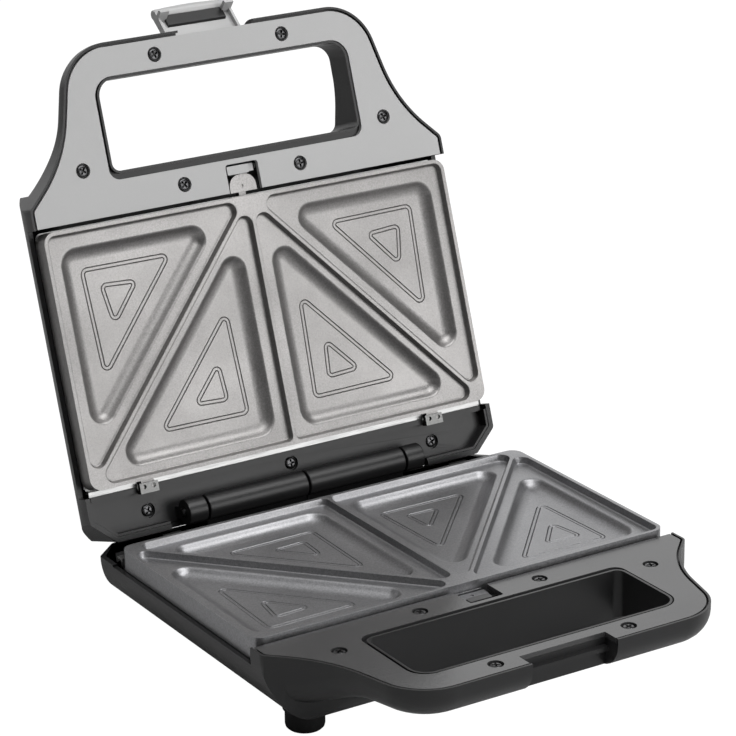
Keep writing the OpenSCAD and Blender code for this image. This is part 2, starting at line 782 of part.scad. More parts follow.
// One unbroken wire from the carriage to the rib
module release_spring() {
    turns = spring_turns;
    steps = turns * 10;
    mean = (spring_d - spring_wire) / 2;
    start = carriage_x + carriage_l + spring_wire / 2 + 0.05;
    run = spring_room - spring_wire - 0.1;
    sides = 6;
    ring = [for (i = [0:steps]) for (k = [0:sides - 1])
        let(a = 360 * turns * i / steps, b = 360 * k / sides, r = mean + spring_wire / 2 * cos(b))
        [start + run * i / steps + spring_wire / 2 * sin(b), spring_s + r * cos(a), spring_z + r * sin(a)]];
    skin = [for (i = [0:steps - 1]) for (k = [0:sides - 1])
        let(n = (k + 1) % sides, p = i * sides)
        each [[p + k, p + n, p + sides + n], [p + k, p + sides + n, p + sides + k]]];
    ends = concat([for (k = [1:sides - 2]) [0, k + 1, k]],
                  [for (k = [1:sides - 2]) [steps * sides, steps * sides + k, steps * sides + k + 1]]);
    polyhedron(ring, concat(skin, ends), convexity = 10);
}
module lower_release_spring() { color(steel) at_base() release_spring(); }
module upper_release_spring() { color(steel) at_lid() release_spring(); }

// ---- latch ----

// Closed latch seen from the side: X is the distance in front of the pin, Y the distance towards the base
module latch_clip() {
    outer = latch_face + latch_t;
    tip = latch_drop - rib_bottom + 0.3;   // inner side of the hooks, under the base's rib
    module across(x0, x1) rotate([90, 0, 90]) translate([0, 0, x0]) linear_extrude(x1 - x0) children();
    color("#b4b4b4") at_lid() translate([0, latch_s, -latch_drop]) rotate([-latch_fold, 0, 0]) {
        difference() {
            union() {
                bar(-latch_w / 2, latch_w / 2, 0, 0, 6.2);
                across(-latch_w / 2, latch_w / 2)
                    polygon([[1.6, -2.6], [outer, -0.4], [outer, 2.8], [0, 2.9], [0, -2]]);
                across(-latch_w / 2, latch_w / 2) polygon([
                    [latch_face, -0.2], [outer, -0.2], [outer, latch_reach], [latch_face, latch_reach]
                ]);
                bar(-latch_w / 2, latch_w / 2, thumb_out, latch_reach, thumb_d);
                twin() across(latch_w / 2 - 1.3, latch_w / 2) polygon([
                    [2.6, 8], [latch_face + 0.5, 7], [latch_face + 0.5, latch_reach], [2, latch_reach]
                ]);
                twin() across(latch_w / 2 - 5, latch_w / 2) polygon([
                    [-2.6, tip], [latch_face + 0.5, tip], [latch_face + 0.5, tip + 2.2],
                    [-1.6, tip + 2.2], [-2.6, tip + 1.2]
                ]);
            }
            bar(-latch_w, latch_w, 0, 0, latch_pin_d + 2 * run_fit);
        }
    }
}
module latch_pin() {
    half = lid_notch[0] / 2 + notch_wall;
    color(steel) at_lid() bar(-half, half, latch_s, -latch_drop, latch_pin_d);
}

// ---- small pieces ----

module feet() {
    r = 2.5;
    color("#1a1a1a") at_base() at_each(feet_at) translate([0, 0, -shell_h - foot_h]) difference() {
        union() {
            rotate_extrude() polygon(concat(
                [[0, 0], [foot_d / 2 - r, 0]],
                [for (a = [15:15:75]) [foot_d / 2 - r + r * sin(a), r - r * cos(a)]],
                [[foot_d / 2, r], [foot_d / 2, foot_h], [0, foot_h]]
            ));
            cylinder(d = spigot_d, h = foot_h + 7.5);
        }
        translate([0, 0, -1]) cylinder(d = head_d + 0.6, h = 4);
        translate([0, 0, -1]) cylinder(d = shank_d + 2 * press, h = foot_h + 9);
    }
}
module foot_screws() {
    color(steel) at_base() at_each(feet_at) translate([0, 0, -shell_h - foot_h]) {
        translate([0, 0, 1.8]) cylinder(d = head_d, h = 1.2);
        translate([0, 0, 2]) cylinder(d = shank_d, h = foot_h + 4);
    }
}

module cord_gland() {
    color("#1c1c1c") at_base() translate([gland_x, -overhang, gland_z]) rotate([90, 0, 0]) difference() {
        union() {
            translate([0, 0, -wall - 5]) cylinder(d = gland_d, h = wall + 9);
            cylinder(d = gland_d + 4, h = 1.6);
            translate([0, 0, -wall - 2.6]) cylinder(d = gland_d + 3, h = 2.5);
        }
        translate([0, 0, -wall - 6]) cylinder(d = 7, h = wall + 12);
    }
}
module terminal_block() {
    color("#efeadd") at_base() translate([terminal_x + 22, foot_rear + 12, wall - shell_h]) difference() {
        block([-12, 0, 0], [12, 18, 9]);
        for (x = [-7, 0, 7]) translate([x, -1, 5]) rotate([-90, 0, 0]) cylinder(d = 3, h = 20);
    }
}

module lens(x) {
    at_lid() translate([x, lamp_s, -shell_h - lens_out]) {
        cylinder(d = lens_d, h = lens_out + wall);
        translate([0, 0, lens_out + wall]) cylinder(d = lens_d + 2, h = 1);
    }
}
module power_lens() { color("#c8201c") lens(-lamp_x); }
module ready_lens() { color("#2a9c3c") lens(lamp_x); }
module lamp_holder() {
    color("#e6e2d6") at_lid() difference() {
        low = -shell_h + wall + 1;
        block([-lamp_x - 7, lamp_s - 7, low], [lamp_x + 7, lamp_s + 7, low + 7]);
        for (x = [-lamp_x, lamp_x]) translate([x, lamp_s, low - 1]) cylinder(d = lens_d - 1, h = 6);
    }
}

base_shell();
base_handle_panel();
base_panel_screws();
base_rear_panel();
base_rear_screws();
lower_plate();
lower_plate_clips();
lower_reflector_pan();
lower_pan_screws();
lower_heating_element();
lower_element_clamps();
lower_release_button();
lower_release_spring();
hinge_pin();
feet();
foot_screws();
cord_gland();
terminal_block();
thermal_fuse();
lid_shell();
lid_handle_panel();
lid_panel_screws();
lid_rear_panel();
lid_rear_screws();
upper_plate();
upper_plate_clips();
upper_reflector_pan();
upper_pan_screws();
upper_heating_element();
upper_element_clamps();
upper_release_button();
upper_release_spring();
thermostat();
lamp_holder();
power_lens();
ready_lens();
latch_clip();
latch_pin();
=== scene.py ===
import json
import math

import bpy
from bpy.props import FloatProperty, FloatVectorProperty, IntProperty, PointerProperty
from mathutils import Matrix, Vector


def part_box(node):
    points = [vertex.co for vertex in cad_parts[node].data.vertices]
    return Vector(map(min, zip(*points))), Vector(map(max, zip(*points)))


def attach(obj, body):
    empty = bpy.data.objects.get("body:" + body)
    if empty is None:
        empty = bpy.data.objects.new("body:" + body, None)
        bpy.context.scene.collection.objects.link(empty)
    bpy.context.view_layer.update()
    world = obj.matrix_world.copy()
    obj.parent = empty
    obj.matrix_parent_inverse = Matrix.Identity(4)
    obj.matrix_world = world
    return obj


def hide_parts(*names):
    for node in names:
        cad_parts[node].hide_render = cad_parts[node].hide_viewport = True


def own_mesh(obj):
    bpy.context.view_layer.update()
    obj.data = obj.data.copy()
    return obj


bl_info = {
    "name": "Sandwich Toaster",
    "version": (1, 0, 0),
    "blender": (4, 5, 0),
    "location": "View3D > Sidebar > Toaster",
    "description": "Models the visible pieces of a hinged sandwich toaster round its working parts",
    "category": "Object",
}

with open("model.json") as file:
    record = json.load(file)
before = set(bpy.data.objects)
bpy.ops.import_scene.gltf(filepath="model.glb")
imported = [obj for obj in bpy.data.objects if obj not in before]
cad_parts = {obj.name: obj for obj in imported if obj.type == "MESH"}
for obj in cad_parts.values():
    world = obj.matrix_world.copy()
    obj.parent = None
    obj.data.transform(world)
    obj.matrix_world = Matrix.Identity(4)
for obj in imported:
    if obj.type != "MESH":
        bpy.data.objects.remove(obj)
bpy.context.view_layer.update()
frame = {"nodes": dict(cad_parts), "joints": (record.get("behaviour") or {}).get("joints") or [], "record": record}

# Both halves are drawn in millimetres in one half frame: X to the right, Y from the hinge axis to the
# handle, Z from the hinge plane towards the other half. BASE and LID carry it to the place of a half.
MM = 0.001
JOINTS = {joint["name"]: joint for joint in frame["joints"]}
HINGE = Vector(JOINTS["lid_hinge"]["pos_m"])
OPENING = math.radians(JOINTS["lid_hinge"]["range_deg"][1])
FOLD = math.radians(JOINTS["latch_pivot"]["range_deg"][1])
MIRROR_Y = Matrix.Scale(-1, 4, (0, 1, 0))
MIRROR_Z = Matrix.Scale(-1, 4, (0, 0, 1))
BASE = Matrix.Translation(HINGE) @ Matrix.Scale(MM, 4) @ MIRROR_Y
LID_TURN = Matrix.Rotation(-OPENING, 4, "X")
LID = Matrix.Translation(HINGE) @ LID_TURN @ Matrix.Scale(MM, 4) @ MIRROR_Z @ MIRROR_Y

# The latch pin's place in the half frame of the lid
PIN_AT = LID.inverted() @ Vector(JOINTS["latch_pivot"]["pos_m"])
LATCH = LID @ Matrix.Translation(PIN_AT) @ Matrix.Rotation(-FOLD, 4, "X")

HALVES = ("base", "lid")
# What carries the pieces of each body to their place
PLACES = {"base": BASE, "lid": LID, "latch": LATCH, "lower_button": BASE, "upper_button": LID}

# Half the width of the shells and of the plates, and the way from the hinge to the handle's front
HALF_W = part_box("base_shell")[1].x / MM
PLATE_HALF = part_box("lower_plate")[1].x / MM
REACH = (HINGE.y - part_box("base_shell")[0].y) / MM
# The shells, then places from the hinge towards the handle
SHELL_H = 40.0
WALL = 2.5
LIP_W = 2.0
OVERHANG = 6.8
BODY_FRONT = REACH - 66.5
APRON = BODY_FRONT - 16.9
PLATE_FRONT = APRON - 2.0
PLATE_SET = PLATE_FRONT - 125.8
GRIP_FRONT = REACH - 16.7
GRIP_HALF = 71.9
# Depths under the hinge plane
PANEL_Z = -2.6
SEAT_Z = -5.0
LIP_Z = -2.4
RIM_Z = -0.2
LAND_Z = -3.6
FLOOR_Z = -7.5
UNDER_Z = -10.5
EDGE_Z = -10.8
STRIP_Z = -6.8
BAR_Z = -18.5
DECK = {"base": -9.8, "lid": -9.0}
REAR_TOP = {"base": -9.8, "lid": -3.0}
# The notch, the springs, screws and fittings
NOTCH_BACK = {"base": PIN_AT.y - 3.5, "lid": PIN_AT.y - 4.6}
NOTCH_HALF = {"base": 23.0, "lid": 21.25}
SPRING_REST = 7.5
SPRING_STOP = 23.7
SPRING_S = (APRON + BODY_FRONT) / 2 + 3.45
SPRING_H = -8.65
RECESS_R = 3.75
RECESS_D = 1.4
POST_R = 3.7
WINDOW_HALF = 9.2
BACK_HALF = 74.5
REAR_EDGE = PLATE_SET - 5.2
FOOT_H = 10.0
GLAND_AT = (70.0, -26.0)
LENS_X = 9.0
LENS_S = 138.0
BORE_R = 5.0
GAP = 0.15

# Places past every piece, for tools that cut right through
FAR = 300.0
DEEP = -60.0
BELOW = -SHELL_H - 9
HIGH = 60.0
OPEN_Z = 30.0


# ---- settings that a user would change ----

class ToasterSizes(bpy.types.PropertyGroup):
    edge: FloatProperty(name="Edge rounding", description="Rounding of the moulded edges, in mm",
                        default=0.7, min=0.2, max=1.2)
    handle_edge: FloatProperty(name="Handle rounding", description="Rounding under the handle, in mm",
                               default=13.0, min=4.0, max=15.0)
    groove_w: FloatProperty(name="Groove width", description="Width of the pockets' grooves, in mm",
                            default=2.4, min=1.0, max=3.0)
    groove_d: FloatProperty(name="Groove depth", description="Depth of the pockets' grooves, in mm",
                            default=0.65, min=0.2, max=0.7)
    corner_steps: IntProperty(name="Corner steps", description="Facets of each rounded corner",
                              default=12, min=6, max=24)


COLOUR = {"subtype": "COLOR", "size": 3, "min": 0, "max": 1}


class ToasterColours(bpy.types.PropertyGroup):
    shell: FloatVectorProperty(name="Shells", description="Grained plastic of both shells",
                               default=(0.011, 0.011, 0.0114), **COLOUR)
    lid_panel: FloatVectorProperty(name="Lid panel", description="Handle panel of the lid",
                                   default=(0.385, 0.385, 0.385), **COLOUR)
    base_panel: FloatVectorProperty(name="Base panel", description="Handle panel of the base",
                                    default=(0.042, 0.042, 0.043), **COLOUR)
    upper_plate: FloatVectorProperty(name="Upper plate", description="Coating of the lid's plate",
                                     default=(0.265, 0.258, 0.254), **COLOUR)
    lower_plate: FloatVectorProperty(name="Lower plate", description="Coating of the base's plate",
                                     default=(0.262, 0.262, 0.27), **COLOUR)
    latch: FloatVectorProperty(name="Latch", description="Latch clip",
                               default=(0.47, 0.47, 0.47), **COLOUR)


def sizes():
    return bpy.context.scene.toaster_sizes


def colours():
    return bpy.context.scene.toaster_colours


# ---- outlines in the plane ----

def corner(before, at, after, radius, steps):
    """Points of a rounded corner; a corner without a radius, or almost straight, is a single point."""
    u, v = (at - before).normalized(), (after - at).normalized()
    angle = math.acos(max(-1.0, min(1.0, u.dot(v))))
    if radius <= 0 or angle < 0.01:
        return [at]
    side = 1 if u.x * v.y - u.y * v.x > 0 else -1
    start = at - u * radius * math.tan(angle / 2)
    middle = start + Vector((-u.y, u.x)) * side * radius
    arm = start - middle
    turned = []
    for i in range(steps + 1):
        c, s = math.cos(side * angle * i / steps), math.sin(side * angle * i / steps)
        turned.append(middle + Vector((arm.x * c - arm.y * s, arm.x * s + arm.y * c)))
    return turned


def smooth(path, steps=None):
    """The path's points with its corners rounded. Each entry is (x, y) or (x, y, radius)."""
    steps = steps or sizes().corner_steps
    flat = [Vector(p[:2]) for p in path]
    points = []
    for i, p in enumerate(path):
        radius = p[2] if len(p) > 2 else 0
        points += corner(flat[i - 1], flat[i], flat[(i + 1) % len(flat)], radius, steps)
    return points


def grown(path, distance):
    """The path moved outwards, its radii with it. The path runs anticlockwise."""
    flat = [Vector(p[:2]) for p in path]
    moved = []
    for i, p in enumerate(path):
        u = (flat[i] - flat[i - 1]).normalized()
        v = (flat[(i + 1) % len(flat)] - flat[i]).normalized()
        m, k = Vector((u.y, -u.x)), Vector((v.y, -v.x))
        at = flat[i] + (m + k) * distance / (1 + m.dot(k))
        side = 1 if u.x * v.y - u.y * v.x > 0 else -1
        radius = p[2] if len(p) > 2 else 0
        moved.append((at.x, at.y, max(0.2, radius + side * distance) if radius else 0))
    return moved


def both_sides(half):
    """An outline completed by the mirror image of its right half."""
    return list(half) + [(-p[0],) + tuple(p[1:]) for p in reversed(half)]


def round_path(radius, count=48):
    turns = [2 * math.pi * i / count for i in range(count)]
    return [(radius * math.cos(turn), radius * math.sin(turn)) for turn in turns]


HANDLE_SIDE = [(HALF_W, BODY_FRONT - 7.2, 4.5), (HALF_W - 21.4, BODY_FRONT + 14.2, 70),
               (HALF_W - 34.4, REACH, 26)]
SHELL_PATH = both_sides([(HALF_W - 12.5, -OVERHANG, 3), (HALF_W, 4.5, 3)] + HANDLE_SIDE)
GRIP_PATH = both_sides([(GRIP_HALF, BODY_FRONT, 5.5), (GRIP_HALF, GRIP_FRONT, 10)])
HOLE_PATH = both_sides([(GRIP_HALF - 2.2, BODY_FRONT + 4.2, 4), (GRIP_HALF - 2.2, GRIP_FRONT - 1.32, 8.5)])
# The shell with its handle alone, from inside the body to the front
HANDLE_PATH = both_sides([(HALF_W, BODY_FRONT - 20)] + HANDLE_SIDE)
# Seen from the side: the body, and the handle's underside rising from it
SIDE_PATH = [(-OVERHANG, -SHELL_H, 4), (BODY_FRONT, -SHELL_H, 9), (BODY_FRONT, FAR), (-OVERHANG, FAR)]
UNDERSIDE = [(BODY_FRONT - 25, -38.3), (BODY_FRONT + 24.2, BAR_Z, 50), (REACH + 20, BAR_Z)]
FRONT_PATH = [(-HALF_W, -SHELL_H, 34), (HALF_W, -SHELL_H, 34), (HALF_W, FAR), (-HALF_W, FAR)]
SCREWS = [(GRIP_HALF + 13.6, BODY_FRONT + 7.2), (33.0, APRON + 8.8), (36.0, GRIP_FRONT + 7.0)]
REAR_SCREWS = [(82.5, 4.2), (0.0, 10.3)]
FEET = [(60.0, 16.0), (88.0, 145.0)]


def on_both_sides(places):
    """The places and their mirror images, a place in the middle once."""
    return [(side * x, s) for x, s in places for side in ((1, -1) if x else (1,))]


# ---- modelling by hand ----

def object_mode():
    bpy.ops.object.mode_set(mode="OBJECT")


def edit_mode():
    bpy.ops.object.mode_set(mode="EDIT")


def nothing_selected():
    if bpy.context.object and bpy.context.object.mode != "OBJECT":
        object_mode()
    bpy.ops.object.select_all(action="DESELECT")


def take(*pieces):
    """Selects the pieces; the last one is the active one."""
    nothing_selected()
    for piece in pieces:
        piece.select_set(True)
    bpy.context.view_layer.objects.active = pieces[-1]


def edit(piece, mode="FACE"):
    take(piece)
    edit_mode()
    bpy.ops.mesh.select_mode(type=mode)
    bpy.ops.mesh.select_all(action="DESELECT")


def loft(name, rings, ring_closed=False):
    """A closed form through rings of as many points each. ring_closed joins the last ring to the first."""
    nothing_selected()
    fill = "NOTHING" if ring_closed else "NGON"
    bpy.ops.mesh.primitive_circle_add(vertices=len(rings[0]), radius=1, fill_type=fill)
    piece = bpy.context.object
    piece.name = name
    mesh = piece.data
    for vertex, point in zip(mesh.vertices, rings[0]):
        vertex.co = point
    last = list(range(len(rings[0])))
    if ring_closed:
        rings = rings + [rings[0]]
    edit_mode()
    bpy.ops.mesh.select_all(action="SELECT")
    for ring in rings[1:]:
        if ring_closed:
            bpy.ops.mesh.extrude_edges_move()
        else:
            bpy.ops.mesh.extrude_region_move()
        object_mode()
        place_of = {tuple(round(c, 4) for c in mesh.vertices[v].co): i for i, v in enumerate(last)}
        fresh = [v.index for v in mesh.vertices if v.select]
        order = {place_of[tuple(round(c, 4) for c in mesh.vertices[v].co)]: v for v in fresh}
        last = [order[i] for i in range(len(ring))]
        for index, point in zip(last, ring):
            mesh.vertices[index].co = point
        edit_mode()
    bpy.ops.mesh.select_all(action="SELECT")
    if ring_closed:
        bpy.ops.mesh.remove_doubles(threshold=0.0005)
    bpy.ops.mesh.normals_make_consistent(inside=False)
    object_mode()
    return piece


def prism(name, path, low, high, steps=None):
    """An outline raised from one depth to another."""
    points = smooth(path, steps)
    return loft(name, [[(p.x, p.y, h) for p in points] for h in (low, high)])


def prism_across(name, path, left, right, steps=None):
    """An outline seen from the side, drawn out along X."""
    points = smooth(path, steps)
    return loft(name, [[(x, p.x, p.y) for p in points] for x in (left, right)])


def prism_along(name, path, near, far, steps=None):
    """An outline seen from the front, drawn out along Y."""
    points = smooth(path, steps)
    return loft(name, [[(p.x, y, p.y) for p in points] for y in (near, far)])


def block(name, low, high):
    path = [(low[0], low[1]), (high[0], low[1]), (high[0], high[1]), (low[0], high[1])]
    return prism(name, path, low[2], high[2])


def ahead_of(s):
    """A tool that takes all from a place on towards the handle."""
    return block("ahead", (-FAR, s, DEEP), (FAR, FAR, HIGH))


def lathe(name, profile, at=(0, 0, 0), count=48):
    """Rings of (radius, depth) round an upright axis."""
    x0, y0, h0 = at
    return loft(name, [[(x0 + x, y0 + y, h0 + h) for x, y in round_path(r, count)] for r, h in profile])


def rod(name, profile, s=0.0, h=0.0, count=64):
    """Rings of (radius, sideways place) round an axis along X."""
    return loft(name, [[(x, s + u, h + v) for u, v in round_path(r, count)] for r, x in profile])


def bush(name, profile):
    """Rings of (radius, place) round the cord's axis, which runs along Y."""
    x0, h0 = GLAND_AT
    return loft(name, [[(x0 + x, s, h0 + h) for x, h in round_path(r)] for r, s in profile])


def joined(name, pieces):
    take(*pieces)
    if len(pieces) > 1:
        bpy.ops.object.join()
    piece = bpy.context.object
    piece.name = name
    return piece


def copied(piece, name):
    twin = piece.copy()
    twin.data = piece.data.copy()
    twin.name = name
    bpy.context.scene.collection.objects.link(twin)
    return twin


def set_out(pattern, places, first=0, step=0):
    """The piece copied to each place on both sides, each copy turned a step more."""
    group = []
    for i, (x, s) in enumerate(on_both_sides(places)):
        one = copied(pattern, pattern.name)
        turn = Matrix.Rotation(math.radians(first + step * i), 4, "Z")
        one.data.transform(Matrix.Translation((x, s, 0)) @ turn)
        group.append(one)
    bpy.data.objects.remove(pattern)
    return joined("group", group)


def modified(piece, kind, **settings):
    modifier = piece.modifiers.new(kind.title(), kind)
    for key, value in settings.items():
        setattr(modifier, key, value)
    take(piece)
    bpy.ops.object.modifier_apply(modifier=modifier.name)
    return piece


def carved(piece, *tools, how="DIFFERENCE"):
    """The piece with the tools cut out of it, joined to it or shared with it. The tools are used up."""
    for tool in tools:
        modified(piece, "BOOLEAN", object=tool, operation=how, solver="MANIFOLD")
        bpy.data.objects.remove(tool)
    edit(piece, "VERT")
    bpy.ops.mesh.select_all(action="SELECT")
    bpy.ops.mesh.remove_doubles(threshold=0.002)
    object_mode()
    return piece


def softened(piece, width, segments=3, angle=38):
    """Rounds every edge sharper than the angle."""
    return modified(piece, "BEVEL", width=width, segments=segments, limit_method="ANGLE",
                    angle_limit=math.radians(angle), use_clamp_overlap=True, miter_outer="MITER_ARC")


def set_in_place(piece, name, body, slot, *nodes):
    """Carries a piece to its place, shades it, gives it its slot's finish and hangs it on its body."""
    piece.name = name
    piece.data.name = name
    piece.data.transform(PLACES[body])
    if PLACES[body].determinant() < 0:
        piece.data.flip_normals()
    take(piece)
    bpy.ops.object.shade_smooth_by_angle(angle=math.radians(35))
    modified(piece, "WEIGHTED_NORMAL", keep_sharp=True, weight=80)
    piece.data.materials.clear()
    piece.data.materials.append(FINISHES[slot])
    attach(piece, body)
    if nodes:
        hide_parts(*nodes)


# ---- shader maths ----

class Value:
    """A number that a material works out over the surface, written as plain arithmetic."""

    def __init__(self, recipe, socket):
        self.recipe = recipe
        self.socket = socket

    def _math(self, operation, first, second):
        return self.recipe.node("ShaderNodeMath", {0: first, 1: second}, operation=operation)[0]

    def __add__(self, other):
        return self._math("ADD", self, other)

    def __radd__(self, other):
        return self._math("ADD", other, self)

    def __sub__(self, other):
        return self._math("SUBTRACT", self, other)

    def __rsub__(self, other):
        return self._math("SUBTRACT", other, self)

    def __mul__(self, other):
        return self._math("MULTIPLY", self, other)

    def __rmul__(self, other):
        return self._math("MULTIPLY", other, self)


class Outputs:
    """The outputs of a node, each by its name or number."""

    def __init__(self, recipe, node):
        self.recipe = recipe
        self.node = node

    def __getitem__(self, key):
        return Value(self.recipe, self.node.outputs[key])


class Recipe:
    """A material, or the world, and the nodes that make it."""

    def __init__(self, name, group="materials"):
        self.made = getattr(bpy.data, group).new(name)
        self.made.use_nodes = True
        self.tree = self.made.node_tree
        self.tree.nodes.clear()
        self.coordinates = self.node("ShaderNodeTexCoord")
        self.place = self.coordinates["Object"]

    def node(self, kind, links=None, **settings):
        """A node of a kind, with its settings and the values or links of its sockets."""
        made = self.tree.nodes.new(kind)
        for key, value in settings.items():
            setattr(made, key, value)
        for key, value in (links or {}).items():
            if isinstance(value, Value):
                self.tree.links.new(value.socket, made.inputs[key])
            else:
                made.inputs[key].default_value = value
        return Outputs(self, made)

    def noise(self, scale, detail=2.0, roughness=0.5, at=None):
        links = {"Vector": at or self.place, "Scale": scale, "Detail": detail, "Roughness": roughness}
        return self.node("ShaderNodeTexNoise", links)["Fac"]

    def cells(self, scale):
        links = {"Vector": self.place, "Scale": scale}
        return self.node("ShaderNodeTexVoronoi", links, feature="F1")["Distance"]

    def stretched(self, x, y, z):
        """The surface's place, drawn out along some axes."""
        return self.node("ShaderNodeMapping", {"Vector": self.place, "Scale": (x, y, z)})["Vector"]

    def between(self, value, low, high, start=0.0, end=1.0):
        """The value carried from one span to another, and held at its ends."""
        links = {"Value": value, "From Min": start, "From Max": end, "To Min": low, "To Max": high}
        return self.node("ShaderNodeMapRange", links, clamp=True)["Result"]

    def blend(self, share, first, second):
        """Two colours mixed by a share of the second."""
        first, second = (tuple(colour)[:3] + (1.0,) for colour in (first, second))
        return self.node("ShaderNodeMix", {0: share, 6: first, 7: second}, data_type="RGBA")[2]

    def bump(self, height, strength, distance):
        links = {"Height": height, "Strength": strength, "Distance": distance}
        return self.node("ShaderNodeBump", links)["Normal"]

    def surface(self, **sockets):
        """Closes the material with one glossy or matt shader."""
        links = {name.replace("_", " "): value for name, value in sockets.items()}
        shader = self.node("ShaderNodeBsdfPrincipled", links)["BSDF"]
        self.node("ShaderNodeOutputMaterial", {"Surface": shader})
        return self.made


def tinted(colour, factor):
    """The colour made lighter or darker."""
    return tuple(min(1.0, c * factor) for c in tuple(colour)[:3]) + (1.0,)


def grained_plastic(name, colour, grain=0.2, shine=0.36):
    """Moulded plastic with a fine eroded grain and a little unevenness in its sheen."""
    r = Recipe(name)
    grains = r.noise(2600, 3, 0.6)
    clouds = r.noise(16, 3, 0.55)
    base = r.blend(r.between(clouds, 0, 1, 0.35, 0.65), tinted(colour, 0.88), tinted(colour, 1.15))
    dull = r.between(clouds, shine - 0.015, shine + 0.025, 0.3, 0.7) + (grains - 0.5) * 0.1
    return r.surface(Base_Color=base, Roughness=dull, Specular_IOR_Level=0.36,
                     Normal=r.bump(grains, grain, 0.0002))


def satin_panel(name, colour, shine=0.32):
    """Smooth moulded panel with a faint orange peel and fine dust in its finish."""
    r = Recipe(name)
    peel = r.noise(420, 2, 0.5)
    flecks = r.between(r.noise(3800, 2, 0.7), 0, 1, 0.35, 0.7)
    clouds = r.noise(12, 3, 0.5)
    base = r.blend(flecks * 0.5 + clouds * 0.5, tinted(colour, 0.94), tinted(colour, 1.07))
    return r.surface(Base_Color=base, Roughness=r.between(clouds, shine - 0.04, shine + 0.05, 0.3, 0.7),
                     Normal=r.bump(peel, 0.05, 0.0004))


def coating(name, colour, shine=0.4):
    """Sprayed non-stick coating: metal flakes in a soft grey film over the casting's skin."""
    r = Recipe(name)
    flakes = r.between(r.cells(1500), 1, 0, 0.1, 0.6)
    speckle = r.between(r.noise(900, 3, 0.8), 0, 1, 0.35, 0.65)
    clouds = r.noise(20, 4, 0.55)
    skin = r.noise(700, 3, 0.7)
    base = r.blend(flakes * 0.3 + speckle * 0.5 + clouds * 0.25, tinted(colour, 0.7), tinted(colour, 1.3))
    dull = r.between(clouds, shine - 0.05, shine + 0.07, 0.3, 0.7) + (speckle - 0.5) * 0.1
    return r.surface(Base_Color=base, Metallic=0.85, Roughness=dull, Normal=r.bump(skin, 0.2, 0.0003))


def bare_metal(name, colour, shine, lines=False):
    """Bright sheet or wire, with rolling lines or fine scratches."""
    r = Recipe(name)
    along = r.stretched(0.04, 1, 1) if lines else r.place
    streaks = r.noise(1800, 4, 0.7, along)
    clouds = r.noise(40, 3, 0.5)
    base = r.blend(streaks * 0.3 + clouds * 0.5, tinted(colour, 0.93), tinted(colour, 1.05))
    dull = r.between(streaks, shine - 0.08, shine + 0.1, 0.3, 0.7)
    return r.surface(Base_Color=base, Metallic=1.0, Roughness=dull, Normal=r.bump(streaks, 0.1, 0.0001))


def heat_stained(name):
    """Tube of a heating element, browned by use."""
    r = Recipe(name)
    stains = r.noise(60, 4, 0.6)
    base = r.blend(r.between(stains, 0, 1, 0.35, 0.65), (0.16, 0.13, 0.11), (0.34, 0.31, 0.28))
    return r.surface(Base_Color=base, Metallic=1.0, Roughness=r.between(stains, 0.35, 0.6),
                     Normal=r.bump(r.noise(1500), 0.15, 0.0001))


def rubber(name):
    """Dull black rubber with a fine grain."""
    r = Recipe(name)
    grain = r.noise(1900, 3, 0.7)
    base = r.blend(grain, (0.004, 0.004, 0.004), (0.009, 0.009, 0.009))
    return r.surface(Base_Color=base, Roughness=r.between(grain, 0.6, 0.75), Specular_IOR_Level=0.25,
                     Normal=r.bump(grain, 0.3, 0.0002))


def ceramic(name):
    """Cream ceramic of the terminals and holders."""
    r = Recipe(name)
    clouds = r.noise(120, 4, 0.6)
    base = r.blend(clouds, (0.66, 0.62, 0.54), (0.82, 0.79, 0.71))
    dull = r.between(clouds, 0.45, 0.6)
    return r.surface(Base_Color=base, Roughness=dull, Normal=r.bump(clouds, 0.1, 0.0003))


def lamp_lens(name, colour):
    """Clear coloured lens over a dark lamp."""
    r = Recipe(name)
    facets = r.cells(900)
    base = r.blend(r.between(facets, 0, 1, 0, 0.7), tinted(colour, 0.55), tinted(colour, 1.3))
    return r.surface(Base_Color=base, Roughness=r.between(facets, 0.08, 0.2), Coat_Weight=1.0,
                     Normal=r.bump(facets, 0.2, 0.0003))


# The finish of each material slot, filled by make_finishes
FINISHES = {}


def make_finishes():
    c = colours()
    FINISHES.update({
        "black_plastic": grained_plastic("grained_black_plastic", c.shell),
        "dark_panel": satin_panel("dark_satin_panel", c.base_panel, 0.2),
        "light_panel": satin_panel("light_satin_panel", c.lid_panel, 0.42),
        "dark_coating": coating("dark_coating", c.lower_plate, 0.38),
        "light_coating": coating("light_coating", c.upper_plate, 0.42),
        "bright_sheet": bare_metal("bright_rolled_sheet", (0.31, 0.31, 0.308), 0.34, True),
        "steel": bare_metal("plated_steel", (0.13, 0.13, 0.128), 0.34),
        "dark_steel": bare_metal("blackened_steel", (0.075, 0.075, 0.077), 0.27),
        "element_sheath": heat_stained("heat_stained_tube"),
        "rubber": rubber("black_rubber"),
        "button_plastic": grained_plastic("smooth_black_plastic", (0.02, 0.02, 0.021), 0.08, 0.32),
        "latch_plastic": satin_panel("latch_satin", c.latch, 0.4),
        "ceramic": ceramic("cream_ceramic"),
        "red_lens": lamp_lens("red_lens", (0.55, 0.02, 0.015)),
        "green_lens": lamp_lens("green_lens", (0.03, 0.36, 0.06)),
    })


# ---- shells ----

def underside(s):
    """Depth of the handle's underside at some distance from the hinge axis."""
    first, bend, last = (Vector(p[:2]) for p in UNDERSIDE)
    points = [first] + corner(first, bend, last, UNDERSIDE[1][2], 16) + [last]
    for a, b in zip(points, points[1:]):
        if a.x <= s < b.x:
            return a.y + (b.y - a.y) * (s - a.x) / (b.x - a.x)
    return BAR_Z


